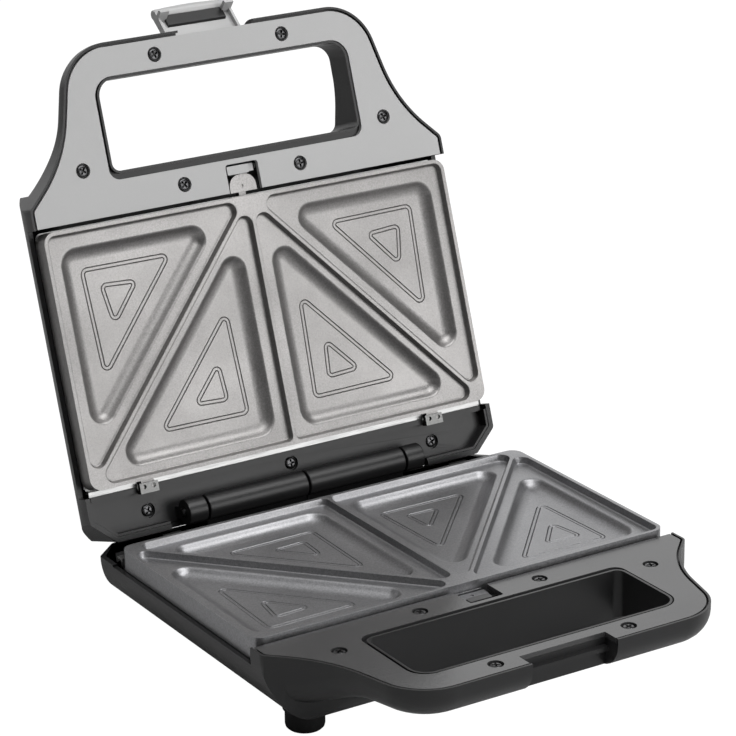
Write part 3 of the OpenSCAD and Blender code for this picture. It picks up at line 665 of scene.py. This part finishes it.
def handle(inset):
    """The handle as one stack of sections; its edge below is a wide fillet that follows the outline."""
    fillet = sizes().handle_edge - inset
    rings = [[(p.x, p.y, OPEN_Z) for p in smooth(grown(HANDLE_PATH, -inset), 20)]]
    for i in range(9):
        turn = math.pi / 2 * i / 8
        inwards = inset + fillet * (1 - math.cos(turn))
        rings.append([(p.x, p.y, underside(p.y) + inset + fillet * (1 - math.sin(turn)))
                      for p in smooth(grown(HANDLE_PATH, -inwards), 20)])
    piece = loft("handle", rings)
    # the last face isn't flat: it's laid anew in strips from side to side
    count = len(rings[0])
    first = len(piece.data.vertices) - count
    edit(piece, "FACE")
    object_mode()
    for face in piece.data.polygons:
        face.select = len(face.vertices) == count and min(face.vertices) >= first
    edit_mode()
    bpy.ops.mesh.delete(type="ONLY_FACE")
    bpy.ops.mesh.select_mode(type="EDGE")
    bpy.ops.mesh.select_all(action="DESELECT")
    object_mode()
    for edge in piece.data.edges:
        a, b = (piece.data.vertices[v] for v in edge.vertices)
        edge.select = a.index >= first and b.index >= first and a.co.x * b.co.x > 0
    edit_mode()
    bpy.ops.mesh.bridge_edge_loops()
    bpy.ops.mesh.select_all(action="SELECT")
    bpy.ops.mesh.normals_make_consistent(inside=False)
    object_mode()
    return piece


def envelope(name, inset):
    """Outer form of a shell, drawn in by some distance and open upwards."""
    body = prism(name, grown(SHELL_PATH, -inset), -SHELL_H - 5, OPEN_Z)
    carved(body, prism_across("side", grown(SIDE_PATH, -inset), -FAR, FAR, 16), how="INTERSECT")
    carved(body, handle(inset), how="UNION")
    return carved(body, prism_along("front", grown(FRONT_PATH, -inset), -FAR, FAR, 24), how="INTERSECT")


def shell(half):
    """A shell: its outer form without its inside, the grip's opening and the latch's notch."""
    body = envelope("shell", 0)
    notch, notch_back = NOTCH_HALF[half], NOTCH_BACK[half]
    cavity = envelope("cavity", WALL)
    keep_grip = prism("keep_grip", grown(HOLE_PATH, WALL), BELOW, HIGH)
    keep_ledge = prism("keep_ledge", grown(GRIP_PATH, WALL), SEAT_Z - WALL, HIGH)
    w = GRIP_HALF + WALL
    keep_front = block("keep_front", (-w, BODY_FRONT - WALL, BELOW), (w, BODY_FRONT, HIGH))
    keep_notch = block("keep_notch", (-notch - 2, notch_back - 2, BELOW), (notch + 2, FAR, HIGH))
    carved(cavity, keep_grip, keep_ledge, keep_front, keep_notch)
    for x, s in on_both_sides(SCREWS):
        carved(cavity, lathe("keep_post", [(POST_R, BELOW), (POST_R, HIGH)], (x, s, 0), 32))
    # the panel's bed, with a dark joint between the panel and the lips round it
    rebate = prism("rebate", grown(SHELL_PATH, -LIP_W + 0.9), SEAT_Z, HIGH)
    behind = block("behind", (-FAR, -FAR, DEEP), (FAR, APRON, HIGH + 20))
    carved(rebate, behind, prism("lip", grown(HOLE_PATH, 1.2), DEEP, HIGH + 20))
    for x, s in on_both_sides(SCREWS):
        carved(rebate, lathe("boss", [(3.6, SEAT_Z - 9), (3.6, PANEL_Z - RECESS_D - 0.02)], (x, s, 0), 32))
    rear_front = PLATE_SET - 2.8
    tops = [
        block("rear_top", (-FAR, -FAR, REAR_TOP[half]), (FAR, rear_front, HIGH)),
        block("edge_top", (-FAR, rear_front - 0.01, EDGE_Z), (FAR, APRON, HIGH)),
        block("lip_top", (-FAR, APRON - 0.01, LIP_Z), (FAR, FAR, HIGH)),
    ]
    for top in tops:
        carved(body, top)
    hole = prism("hole", HOLE_PATH, BELOW, HIGH)
    notch_top = HIGH if half == "base" else SEAT_Z
    cut_notch = block("notch", (-notch, notch_back, DEEP), (notch, FAR, notch_top))
    if half == "base":
        carved(cut_notch, block("rib", (-FAR, notch_back - 1, -10.5), (FAR, notch_back + 3, -8.3)))
    carved(body, cavity, rebate, hole, cut_notch)
    if half == "lid":
        carved(body, block("lip_gap", (-notch, PIN_AT.y, SEAT_Z - 0.1), (notch, FAR, HIGH)))
        carved(body, block("pocket", (-BACK_HALF, DEEP, -8), (BACK_HALF, -OVERHANG + WALL + 0.01, HIGH)))
        for x in (-LENS_X, LENS_X):
            carved(body, lathe("lamp_hole", [(3.52, -3), (3.52, 5)], (x, LENS_S, -SHELL_H)))
    else:
        for x, s in on_both_sides(FEET):
            carved(body, lathe("pad", [(10.2, 0), (10.2, 8)], (x, s, -SHELL_H)), how="UNION")
        carved(body, bush("gland_hole", [(BORE_R + 0.02, -20.0), (BORE_R + 0.02, 0.0)]))
    return softened(body, sizes().edge)


class TOASTER_OT_shells(bpy.types.Operator):
    """Model the black shells of base and lid"""
    bl_idname = "toaster.shells"
    bl_label = "Shells"

    def execute(self, context):
        for half in HALVES:
            set_in_place(shell(half), half + "_shell_moulding", half, "black_plastic", half + "_shell")
        return {"FINISHED"}


# ---- handle panels ----

def handle_panel(half):
    """A handle's panel with its openings and the recesses of its screws."""
    body = prism("panel", grown(SHELL_PATH, -LIP_W - GAP), SEAT_Z, PANEL_Z)
    w, rear, front = WINDOW_HALF, APRON - 20, BODY_FRONT - 2.5
    tools = [
        block("behind", (-FAR, -FAR, DEEP), (FAR, APRON + 2 * GAP, HIGH)),
        prism("grip", GRIP_PATH, DEEP, HIGH),
        prism("window", [(-w, rear), (w, rear), (w, front, 1.5), (-w, front, 1.5)], DEEP, HIGH),
    ]
    if half == "base":
        notch = NOTCH_HALF["base"] + 2 * GAP
        tools.append(block("notch", (-notch, NOTCH_BACK[half] - 2 * GAP, DEEP), (notch, FAR, HIGH)))
    else:
        tools.append(ahead_of(REACH - 2.3))
    carved(body, *tools)
    for x, s in on_both_sides(SCREWS):
        carved(body, lathe("recess", [(RECESS_R, SEAT_Z - 2), (RECESS_R, PANEL_Z + 2)], (x, s, 0)))
    return softened(body, 0.4)


class TOASTER_OT_handle_panels(bpy.types.Operator):
    """Model the handle panels of base and lid"""
    bl_idname = "toaster.handle_panels"
    bl_label = "Handle panels"

    def execute(self, context):
        for half, slot in (("base", "dark_panel"), ("lid", "light_panel")):
            set_in_place(handle_panel(half), half + "_handle_cover", half, slot, half + "_handle_panel")
        return {"FINISHED"}


# ---- plates ----

RIM_W = 2.5
RIDGE_W = 3.0
TAB_HALF = 7.5
REAR_TAB_X = 82.5
SLOPE = (PLATE_FRONT - PLATE_SET - RIM_W) / (PLATE_HALF - RIM_W)
STRETCH = math.sqrt(1 + SLOPE * SLOPE)


def ridge_s(x, shift):
    """Where a slanting ridge, moved by some distance, is at a place across the plate."""
    return PLATE_FRONT - SLOPE * x + shift * STRETCH


def ridge_x(s, shift):
    return (PLATE_FRONT + shift * STRETCH - s) / SLOPE


def outer_area(side_in, front_in, shift, r_side, r_ridge):
    """Triangle between a slanting ridge, the side and the handle edge of a plate."""
    x, s = PLATE_HALF - side_in, PLATE_FRONT - front_in
    return [(x, ridge_s(x, shift), r_ridge), (x, s, r_side), (ridge_x(s, shift), s, r_ridge)]


def inner_area(middle_in, rear_in, shift, r_corner, r_ridge):
    """Triangle between a slanting ridge, the middle and the hinge edge of a plate."""
    s = PLATE_SET + rear_in
    return [(middle_in, s, r_corner), (ridge_x(s, -shift), s, r_ridge),
            (middle_in, ridge_s(middle_in, -shift), r_ridge)]


OUTER_LAND = outer_area(RIM_W, RIM_W, RIDGE_W / 2, 3.5, 4)
INNER_LAND = inner_area(RIDGE_W / 2, RIM_W, RIDGE_W / 2, 2.2, 4)
OUTER_POCKET = outer_area(8.8, 10.0, 7.5, 8, 6.6)
INNER_POCKET = inner_area(8.3, 7.7, 6.1, 8, 6.6)
# Grooves in the pocket floors: large and small triangle, each with round corners
OUTER_GROOVES = [[(92, 72.8, 2.2), (93.9, 124.8, 2.6), (46.2, 124.3, 1.9)],
                 [(82, 96.6, 2), (85.1, 115.9, 2), (66.5, 114.8, 1.6)]]
INNER_GROOVES = [[(19.6, 40.0, 2.6), (67.6, 40.5, 1.9), (21.3, 91.1, 2.2)],
                 [(29.5, 48.6, 2), (47, 49.5, 1.6), (30.9, 66.9, 1.8)]]
# Sections of the walls: (outwards, depth)
LAND_WALL = [(1.0, RIM_Z + 3), (1.0, RIM_Z + 0.02), (0.6, RIM_Z - 0.14), (0.42, RIM_Z - 0.5),
             (-0.1, LAND_Z + 0.8), (-0.35, LAND_Z + 0.3), (-0.8, LAND_Z + 0.06), (-1.3, LAND_Z)]
POCKET_WALL = [(1.4, LAND_Z + 3), (1.4, LAND_Z + 0.02), (0.8, LAND_Z - 0.06), (0.3, LAND_Z - 0.26),
               (-0.15, LAND_Z - 0.62), (-0.9, LAND_Z - 1.45), (-1.6, FLOOR_Z + 1.75), (-2.4, FLOOR_Z + 1.2),
               (-3.3, FLOOR_Z + 0.74), (-4.3, FLOOR_Z + 0.39), (-5.4, FLOOR_Z + 0.14), (-6.6, FLOOR_Z)]


def rings_of(path, section, steps, level=0.0):
    """The path at each (outwards, depth) of a section."""
    return [[(p.x, p.y, level + depth) for p in smooth(grown(path, outwards), steps)]
            for outwards, depth in section]


def groove(path):
    """Double line of a groove: a ring that cuts deepest along its two edges."""
    w, d = sizes().groove_w / 2, sizes().groove_d
    line = 0.62
    section = both_sides([(w, 1.0), (w, 0.02), (w - line * 0.45, -d), (w - line, -0.08)])
    return loft("groove", rings_of(path, section, 8, FLOOR_Z), ring_closed=True)


def mirrored(piece):
    twin = copied(piece, piece.name + "_left")
    twin.data.transform(Matrix.Scale(-1, 4, (1, 0, 0)))
    twin.data.flip_normals()
    return joined(piece.name, [twin, piece])


def plate():
    """A cooking plate with its pockets, its hooked front tab and its two rear tabs."""
    outline = both_sides([(PLATE_HALF, PLATE_SET, 6), (PLATE_HALF, PLATE_FRONT, 6)])
    body = prism("plate", outline, UNDER_Z, RIM_Z)
    for wall, paths in ((LAND_WALL, (OUTER_LAND, INNER_LAND)), (POCKET_WALL, (OUTER_POCKET, INNER_POCKET))):
        for path in paths:
            carved(body, mirrored(loft("hollow", rings_of(path, wall, 12))))
    for path in OUTER_GROOVES + INNER_GROOVES:
        carved(body, mirrored(groove(path)))
    tab_end = APRON + 8.8
    tab = prism("tab", both_sides([(TAB_HALF, PLATE_FRONT - 1), (TAB_HALF, tab_end, 6)]), SEAT_Z - 2, SEAT_Z)
    carved(tab, lathe("dimple", [(0.9, SEAT_Z - 0.5), (0.9, SEAT_Z + 1)], (-0.8, APRON + 3, 0), 20))
    carved(tab, block("gap", (-9, PLATE_FRONT + 0.3, -20), (9, APRON + 0.1, 0)))
    stem = block("stem", (-2, PLATE_FRONT - 2, UNDER_Z + 0.1), (2, tab_end - 5, SEAT_Z - 2.2))
    lug = block("lug", (-2, tab_end - 6.5, -13.0), (2, tab_end - 0.5, SEAT_Z - 1))
    foot = block("foot", (-2, tab_end - 6.5, -14.6), (6, tab_end - 0.5, -12.6))
    carved(body, stem, lug, tab, foot, how="UNION")
    for x in (-REAR_TAB_X, REAR_TAB_X):
        rear_tab = block("rear_tab", (x - 3.5, PLATE_SET - 4.8, -5.3), (x + 3.5, PLATE_SET + 1, -3.7))
        carved(body, rear_tab, how="UNION")
    return softened(body, 0.4, angle=50)


class TOASTER_OT_plates(bpy.types.Operator):
    """Model the two cooking plates with their pockets and grooves"""
    bl_idname = "toaster.plates"
    bl_label = "Plates"

    def execute(self, context):
        lower = plate()
        upper = copied(lower, "upper")
        set_in_place(lower, "lower_pocket_plate", "base", "dark_coating", "lower_plate")
        set_in_place(upper, "upper_pocket_plate", "lid", "light_coating", "upper_plate")
        return {"FINISHED"}


# ---- hinge ----

BARREL_R = 6.5
HINGE_PIN_R = 2.5
BARREL_SPAN = {"base": (0.4, 56.6), "lid": (57.4, 68.0)}
# Where the lid's plate clips stand, to either side
CLIP_SPAN = (77.0, 88.0)


def barrel(start, end, panel_top):
    """Barrel with rounded ends and a web down to its panel."""
    edge = [(BARREL_R - 0.9, 0), (BARREL_R - 0.25, 0.3), (BARREL_R, 0.9)]
    tube = rod("barrel", [(r, start + x) for r, x in edge] + [(r, end - x) for r, x in reversed(edge)])
    web = block("web", (start, -3, panel_top - 0.5), (end, 3, 0))
    carved(tube, web, how="UNION")
    return carved(tube, rod("bore", [(HINGE_PIN_R + 0.05, start - 2), (HINGE_PIN_R + 0.05, end + 2)]))


def rear_panel(half):
    """The deck behind a plate, with the barrels of the hinge that its half carries."""
    top = DECK[half]
    path = grown(SHELL_PATH, -WALL - GAP)
    body = prism("rear_panel", path, top - 2.4, top)
    carved(body, ahead_of(REAR_EDGE))
    if half == "lid":
        rim = prism("rim", path, top - 0.5, REAR_TOP["lid"] - 0.4)
        middle = block("middle", (-BACK_HALF, DEEP, DEEP), (BACK_HALF, FAR, HIGH))
        carved(rim, prism("inside", grown(path, -1.2), DEEP, HIGH), ahead_of(REAR_EDGE), middle)
        carved(body, rim, how="UNION")
        # a lip over the rear part of the bright strip, with a gap at each plate clip
        back, step, front = PLATE_SET - 5.7, PLATE_SET - 5.25, PLATE_SET - 2.9
        low, high = STRIP_Z + 0.05, STRIP_Z + 0.75
        section = [(back, top - 1), (step, top - 1), (step, low), (front, low), (front, high), (back, high)]
        near, far = CLIP_SPAN
        edge = PLATE_HALF - 1.2
        for left, right in ((-edge, -far), (-near, near), (far, edge)):
            carved(body, prism_across("lip", section, left, right), how="UNION")
    start, end = BARREL_SPAN[half]
    for left, right in ((start, end), (-end, -start)):
        carved(body, barrel(left, right, top), how="UNION")
    for x, s in on_both_sides(REAR_SCREWS):
        recess = lathe("recess", [(RECESS_R, -RECESS_D), (RECESS_R, 2)], (x, s, top))
        carved(body, recess, lathe("bolt", [(1.7, -30), (1.7, 10)], (x, s, 0), 24))
    return softened(body, 0.35, 2, 40)


class TOASTER_OT_hinge(bpy.types.Operator):
    """Model the rear panels with the hinge barrels, and the pin"""
    bl_idname = "toaster.hinge"
    bl_label = "Hinge"

    def execute(self, context):
        for half in HALVES:
            set_in_place(rear_panel(half), half + "_hinge_panel", half, "black_plastic", half + "_rear_panel")
        r, end = HINGE_PIN_R, 69.5
        pin = rod("pin", [(r - 0.7, -end), (r, -end + 0.7), (r, end - 0.7), (r - 0.7, end)], count=40)
        set_in_place(pin, "hinge_axle", "base", "dark_steel", "hinge_pin")
        return {"FINISHED"}


# ---- screws ----

def screw(seat, length=8.0):
    """Pan head with a cross recess on a plain shank."""
    head = lathe("head", [(2.95, 0), (3.0, 0.45), (2.75, 0.8), (2.2, 1.02), (1.6, 1.1)], (0, 0, seat))
    carved(head, lathe("shank", [(1.5, 0.2), (1.5, -length)], (0, 0, seat), 24), how="UNION")
    for turn in (0, 90):
        sections = ((2.1, 0.55, seat + 1.4), (1.0, 0.4, seat - 0.6))
        arm = loft("cross", [[(-l, -w, h), (l, -w, h), (l, w, h), (-l, w, h)] for l, w, h in sections])
        arm.data.transform(Matrix.Rotation(math.radians(turn), 4, "Z"))
        carved(head, arm)
    return head


class TOASTER_OT_screws(bpy.types.Operator):
    """Model the cross-head screws of the panels"""
    bl_idname = "toaster.screws"
    bl_label = "Screws"

    def execute(self, context):
        for half in HALVES:
            cover = set_out(screw(PANEL_Z - RECESS_D), SCREWS, 20, 37)
            set_in_place(cover, half + "_cover_screws", half, "dark_steel", half + "_panel_screws")
            deck = set_out(screw(DECK[half] - RECESS_D), REAR_SCREWS, 20, 37)
            set_in_place(deck, half + "_deck_screws", half, "dark_steel", half + "_rear_screws")
        return {"FINISHED"}


# ---- latch and release buttons ----

class TOASTER_OT_latch(bpy.types.Operator):
    """Model the latch clip and its pin"""
    bl_idname = "toaster.latch"
    bl_label = "Latch"

    def execute(self, context):
        # half the clip's width; from the pin to the thumb tip's axis, and out to it; both faces of the web
        half, reach, out, face, back = 20.75, 24.4, 5.1, 4.8, 6.6
        clip = prism_across("clip", [(1.6, -2.6, 0.6), (back, -0.4, 1.2), (back, 2.8), (0, 2.9), (0, -2)],
                            -half, half, 6)
        crown = [(1.6, half), (2.3, half - 0.3), (2.6, half - 1.2), (3.0, half * 0.6), (3.3, half * 0.15)]
        tools = [
            rod("knuckle", [(2.7, -half), (3.1, -half + 0.4), (3.1, half - 0.4), (2.7, half)]),
            prism_across("web", [(face, -0.2), (back, -0.2), (back, reach), (face, reach)], -half, half),
            rod("thumb", [(r, -x) for r, x in crown] + crown[::-1], out, reach),
        ]
        cheek = [(2.6, 8, 0.8), (face + 0.5, 7), (face + 0.5, reach), (2, reach)]
        hook = [(-2.6, 19.3), (face + 0.5, 19.3), (face + 0.5, 21.5), (-1.6, 21.5), (-2.6, 20.5)]
        for section, width in ((cheek, 1.3), (hook, 5)):
            for left in (-half, half - width):
                tools.append(prism_across("side", section, left, left + width, 6))
        carved(clip, *tools, how="UNION")
        carved(clip, rod("bore", [(1.55, -40), (1.55, 40)], count=40))
        set_in_place(softened(clip, 0.3), "latch_lever", "latch", "latch_plastic", "latch_clip")
        # painted shade: a black piece laid in the hollow below the thumb barrel, standing in for the shadow in
        # that hollow
        inner, outer = face - 1.6, face + 0.1
        section = [(inner, reach - 9, 0.5), (outer, reach - 9.4), (outer, reach - 1),
                   (inner, reach - 2.6, 0.5)]
        painted_shade = prism_across("painted_shade", section, -half + 4.4, half - 4.4, 5)
        set_in_place(painted_shade, "latch_painted_shade", "latch", "black_plastic")
        end = 23.25
        profile = [(1.2, -end), (1.5, -end + 0.3), (1.5, end - 0.3), (1.2, end)]
        pin = rod("pin", profile, PIN_AT.y, PIN_AT.z, 32)
        set_in_place(pin, "latch_axle", "lid", "steel", "latch_pin")
        return {"FINISHED"}


class TOASTER_OT_release_buttons(bpy.types.Operator):
    """Model the sliding plate release buttons"""
    bl_idname = "toaster.release_buttons"
    bl_label = "Release buttons"

    def execute(self, context):
        left, right, rear, front = -8.5, 3.6, APRON + 9.1, BODY_FRONT - 3.5
        outline = [(left, rear, 0.8), (right, rear, 0.8), (right, front, 0.8), (left, front, 0.8)]
        top = prism("top", outline, PANEL_Z - 2, PANEL_Z)
        neck = block("neck", (left, rear + 0.5, -7.0), (right, front, PANEL_Z - 1))
        carriage = block("carriage", (-12.5, rear + 0.5, -12.3), (7.5, front, -5.3))
        finger = block("finger", (2.4, rear - 6.3, -12.3), (6.0, rear + 1, -10.0))
        peg = rod("peg", [(1.4, 6.5), (1.4, 10.2), (1.0, 10.5)], SPRING_S, SPRING_H, 24)
        carved(top, neck, carriage, finger, peg, how="UNION")
        lower = softened(top, 0.2, 2)
        upper = copied(lower, "upper")
        set_in_place(lower, "lower_slide_button", "lower_button", "button_plastic", "lower_release_button")
        set_in_place(upper, "upper_slide_button", "upper_button", "light_panel", "upper_release_button")
        return {"FINISHED"}


class TOASTER_OT_springs(bpy.types.Operator):
    """Wind the springs behind the release buttons"""
    bl_idname = "toaster.springs"
    bl_label = "Release springs"

    def execute(self, context):
        turns, steps, mean, wire = 7, 16, 2.15, 0.35
        start, run = SPRING_REST + wire + 0.05, SPRING_STOP - SPRING_REST - 2 * wire - 0.1
        rings = []
        for i in range(turns * steps + 1):
            turn = 2 * math.pi * i / steps
            out = Vector((0, math.cos(turn), math.sin(turn)))
            along = Vector((run / turns / (2 * math.pi * mean), -out.z, out.y)).normalized()
            across = along.cross(out)
            middle = Vector((start + run * i / (turns * steps), SPRING_S, SPRING_H)) + out * mean
            rings.append([tuple(middle + out * wire * u + across * wire * v) for u, v in round_path(1, 8)])
        lower = loft("spring", rings)
        upper = copied(lower, "upper")
        for spring, half, node in ((lower, "base", "lower"), (upper, "lid", "upper")):
            set_in_place(spring, node + "_button_spring", half, "steel", node + "_release_spring")
            node + "_plate_release"
            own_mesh(spring)
        return {"FINISHED"}


# ---- feet and small fittings ----

class TOASTER_OT_fittings(bpy.types.Operator):
    """Model the feet, the cord gland and the lamp lenses"""
    bl_idname = "toaster.fittings"
    bl_label = "Feet and fittings"

    def execute(self, context):
        ground = (0, 0, -SHELL_H - FOOT_H)
        foot = lathe("foot", [(3.6, 0), (6.7, 0), (8.0, 0.4), (8.9, 1.3), (9.2, 2.5), (9.2, 8.6), (9.0, 9.6),
                              (8.7, FOOT_H), (4.0, FOOT_H), (4.0, 17.4)], ground)
        socket, hole = ((3.6, -1), (3.6, 3)), ((1.52, -1), (1.52, 19))
        carved(foot, lathe("socket", socket, ground), lathe("hole", hole, ground, 24))
        set_in_place(set_out(foot, FEET), "rubber_feet", "base", "rubber", "feet")

        rings = [(BORE_R, 5.0), (BORE_R, 0.1), (6.6, 0.0), (7.0, -0.4), (7.0, -1.2), (6.6, -1.6), (5.2, -1.7),
                 (4.8, -3.6), (4.4, -4.0)]
        gland = bush("gland", [(r, s - OVERHANG) for r, s in rings])
        carved(gland, bush("bore", [(3.5, -30.0), (3.5, 10.0)]))
        set_in_place(gland, "cord_bush", "base", "rubber", "cord_gland")

        profile = [(4.5, 3.5), (4.5, 2.5), (3.5, 2.5), (3.5, -0.3), (3.2, -0.55), (2.4, -0.72), (1.2, -0.8)]
        for x, node, slot in ((-LENS_X, "power_lens", "red_lens"), (LENS_X, "ready_lens", "green_lens")):
            cap = lathe("lens", profile, (x, LENS_S, -SHELL_H))
            set_in_place(cap, node + "_cap", "lid", slot, node)
        return {"FINISHED"}


class TOASTER_OT_working_parts(bpy.types.Operator):
    """Give the working parts that stay as they are their finishes"""
    bl_idname = "toaster.working_parts"
    bl_label = "Working parts"

    def execute(self, context):
        slots = {s["node"]: s["material_slot"] for s in frame["record"]["subparts"]}
        for name, node in frame["nodes"].items():
            material = FINISHES[slots[name]]
            if not node.data.materials:
                node.data.materials.append(material)
            for i in range(len(node.data.materials)):
                node.data.materials[i] = material
        return {"FINISHED"}


# ---- stage ----

# The photograph's camera, found by a fit; its lens is in millimetres
CAMERA_AT = HINGE + Vector((-741.2, -1251.51, 587.6)) * MM
CAMERA_TURN = math.radians(-31.9224)
CAMERA_FALL = math.radians(19.9291)
CAMERA_ROLL = math.radians(-0.8178)
CAMERA_LENS = 154.24
WHITE = (1.0, 1.0, 1.0, 1.0)
FLOOR_GREY = (0.72, 0.72, 0.72, 1.0)
# What share of the floor glows to the camera, and how brightly
FLOOR_SHARE = 0.9
FLOOR_GLOW = 1.12
ROOM_LIGHT = 0.21
# Each lamp: name, place, size in metres, power in watts
LAMPS = (
    ("front", (0.98, -1.75, 0.62), (1.3, 1.0), 17),
    ("top", (0.4, -0.75, 1.98), (2.2, 1.1), 34),
    ("back", (1.5, 1.9, 1.0), (1.8, 1.2), 5),
)
LAMPS_AIM = (0, 0, 0.12)


def soft_lamp(name, at, size, power):
    nothing_selected()
    bpy.ops.object.light_add(type="AREA", location=at)
    lamp = bpy.context.object
    lamp.name = name
    lamp.data.shape = "RECTANGLE"
    lamp.data.size, lamp.data.size_y = size
    lamp.data.energy = power
    lamp.rotation_euler = (Vector(LAMPS_AIM) - Vector(at)).to_track_quat("-Z", "Y").to_euler()


def studio_light():
    """A dim room; what mirrors shows a white wall behind and a white ceiling, the camera all white."""
    r = Recipe("studio", "worlds")
    way = r.node("ShaderNodeSeparateXYZ", {0: r.coordinates["Generated"]})
    walls = []
    for axis, start, end, dim in (("Y", 0.45, 0.85, 0.12), ("Z", 0.75, 0.95, 0.0)):
        links = {"Value": way[axis], "From Min": start, "From Max": end, "To Min": dim, "To Max": 1.0}
        walls.append(r.node("ShaderNodeMapRange", links, interpolation_type="SMOOTHSTEP")["Result"])
    seen_by = {"Is Glossy Ray": walls[0] + walls[1], "Is Transmission Ray": 1.0, "Is Camera Ray": 1.0}
    rays = r.node("ShaderNodeLightPath")
    lit = r.node("ShaderNodeBackground", {"Color": WHITE, "Strength": ROOM_LIGHT})["Background"]
    for ray, strength in seen_by.items():
        seen = r.node("ShaderNodeBackground", {"Color": WHITE, "Strength": strength})["Background"]
        lit = r.node("ShaderNodeMixShader", {0: rays[ray], 1: lit, 2: seen})["Shader"]
    r.node("ShaderNodeOutputWorld", {"Surface": lit})
    bpy.context.scene.world = r.made


class TOASTER_OT_stage(bpy.types.Operator):
    """Set up the floor, the light and the camera"""
    bl_idname = "toaster.stage"
    bl_label = "Stage"

    def execute(self, context):
        nothing_selected()
        bpy.ops.mesh.primitive_plane_add(size=30)
        floor = context.object
        floor.name = "floor"
        r = Recipe("pale_floor")
        diffuse = r.node("ShaderNodeBsdfDiffuse", {"Color": FLOOR_GREY})["BSDF"]
        glow = r.node("ShaderNodeEmission", {"Color": WHITE, "Strength": FLOOR_GLOW})["Emission"]
        seen = r.node("ShaderNodeLightPath")["Is Camera Ray"] * FLOOR_SHARE
        mixed = r.node("ShaderNodeMixShader", {0: seen, 1: diffuse, 2: glow})["Shader"]
        r.node("ShaderNodeOutputMaterial", {"Surface": mixed})
        floor.data.materials.append(r.made)

        studio_light()
        for lamp in LAMPS:
            soft_lamp(*lamp)

        bpy.ops.object.camera_add()
        camera = context.object
        camera.name = "photograph_camera"
        camera.data.sensor_width = 36
        camera.data.lens = CAMERA_LENS
        camera.data.clip_start, camera.data.clip_end = 0.05, 60
        turn = Matrix.Rotation(CAMERA_TURN, 4, "Z") @ Matrix.Rotation(math.pi / 2 - CAMERA_FALL, 4, "X")
        camera.matrix_world = Matrix.Translation(CAMERA_AT) @ turn @ Matrix.Rotation(CAMERA_ROLL, 4, "Z")
        context.scene.camera = camera
        context.scene.view_settings.view_transform = "Standard"
        return {"FINISHED"}


class TOASTER_PT_panel(bpy.types.Panel):
    """Lists the steps that build the toaster"""
    bl_idname = "TOASTER_PT_panel"
    bl_label = "Sandwich toaster"
    bl_space_type = "VIEW_3D"
    bl_region_type = "UI"
    bl_category = "Toaster"

    def draw(self, context):
        for settings in (context.scene.toaster_sizes, context.scene.toaster_colours):
            for key in settings.__annotations__:
                self.layout.prop(settings, key)
        for step in STEPS:
            self.layout.operator(step.bl_idname)


STEPS = (
    TOASTER_OT_working_parts, TOASTER_OT_shells, TOASTER_OT_handle_panels, TOASTER_OT_plates,
    TOASTER_OT_hinge, TOASTER_OT_screws, TOASTER_OT_latch, TOASTER_OT_release_buttons,
    TOASTER_OT_springs, TOASTER_OT_fittings, TOASTER_OT_stage,
)
CLASSES = (ToasterSizes, ToasterColours) + STEPS + (TOASTER_PT_panel,)


def register():
    for kind in CLASSES:
        bpy.utils.register_class(kind)
    bpy.types.Scene.toaster_sizes = PointerProperty(type=ToasterSizes)
    bpy.types.Scene.toaster_colours = PointerProperty(type=ToasterColours)


def unregister():
    del bpy.types.Scene.toaster_colours
    del bpy.types.Scene.toaster_sizes
    for kind in reversed(CLASSES):
        bpy.utils.unregister_class(kind)


def main():
    register()
    make_finishes()
    for step in STEPS:
        group, name = step.bl_idname.split(".")
        getattr(getattr(bpy.ops, group), name)()
    nothing_selected()


if __name__ == "__main__":
    main()
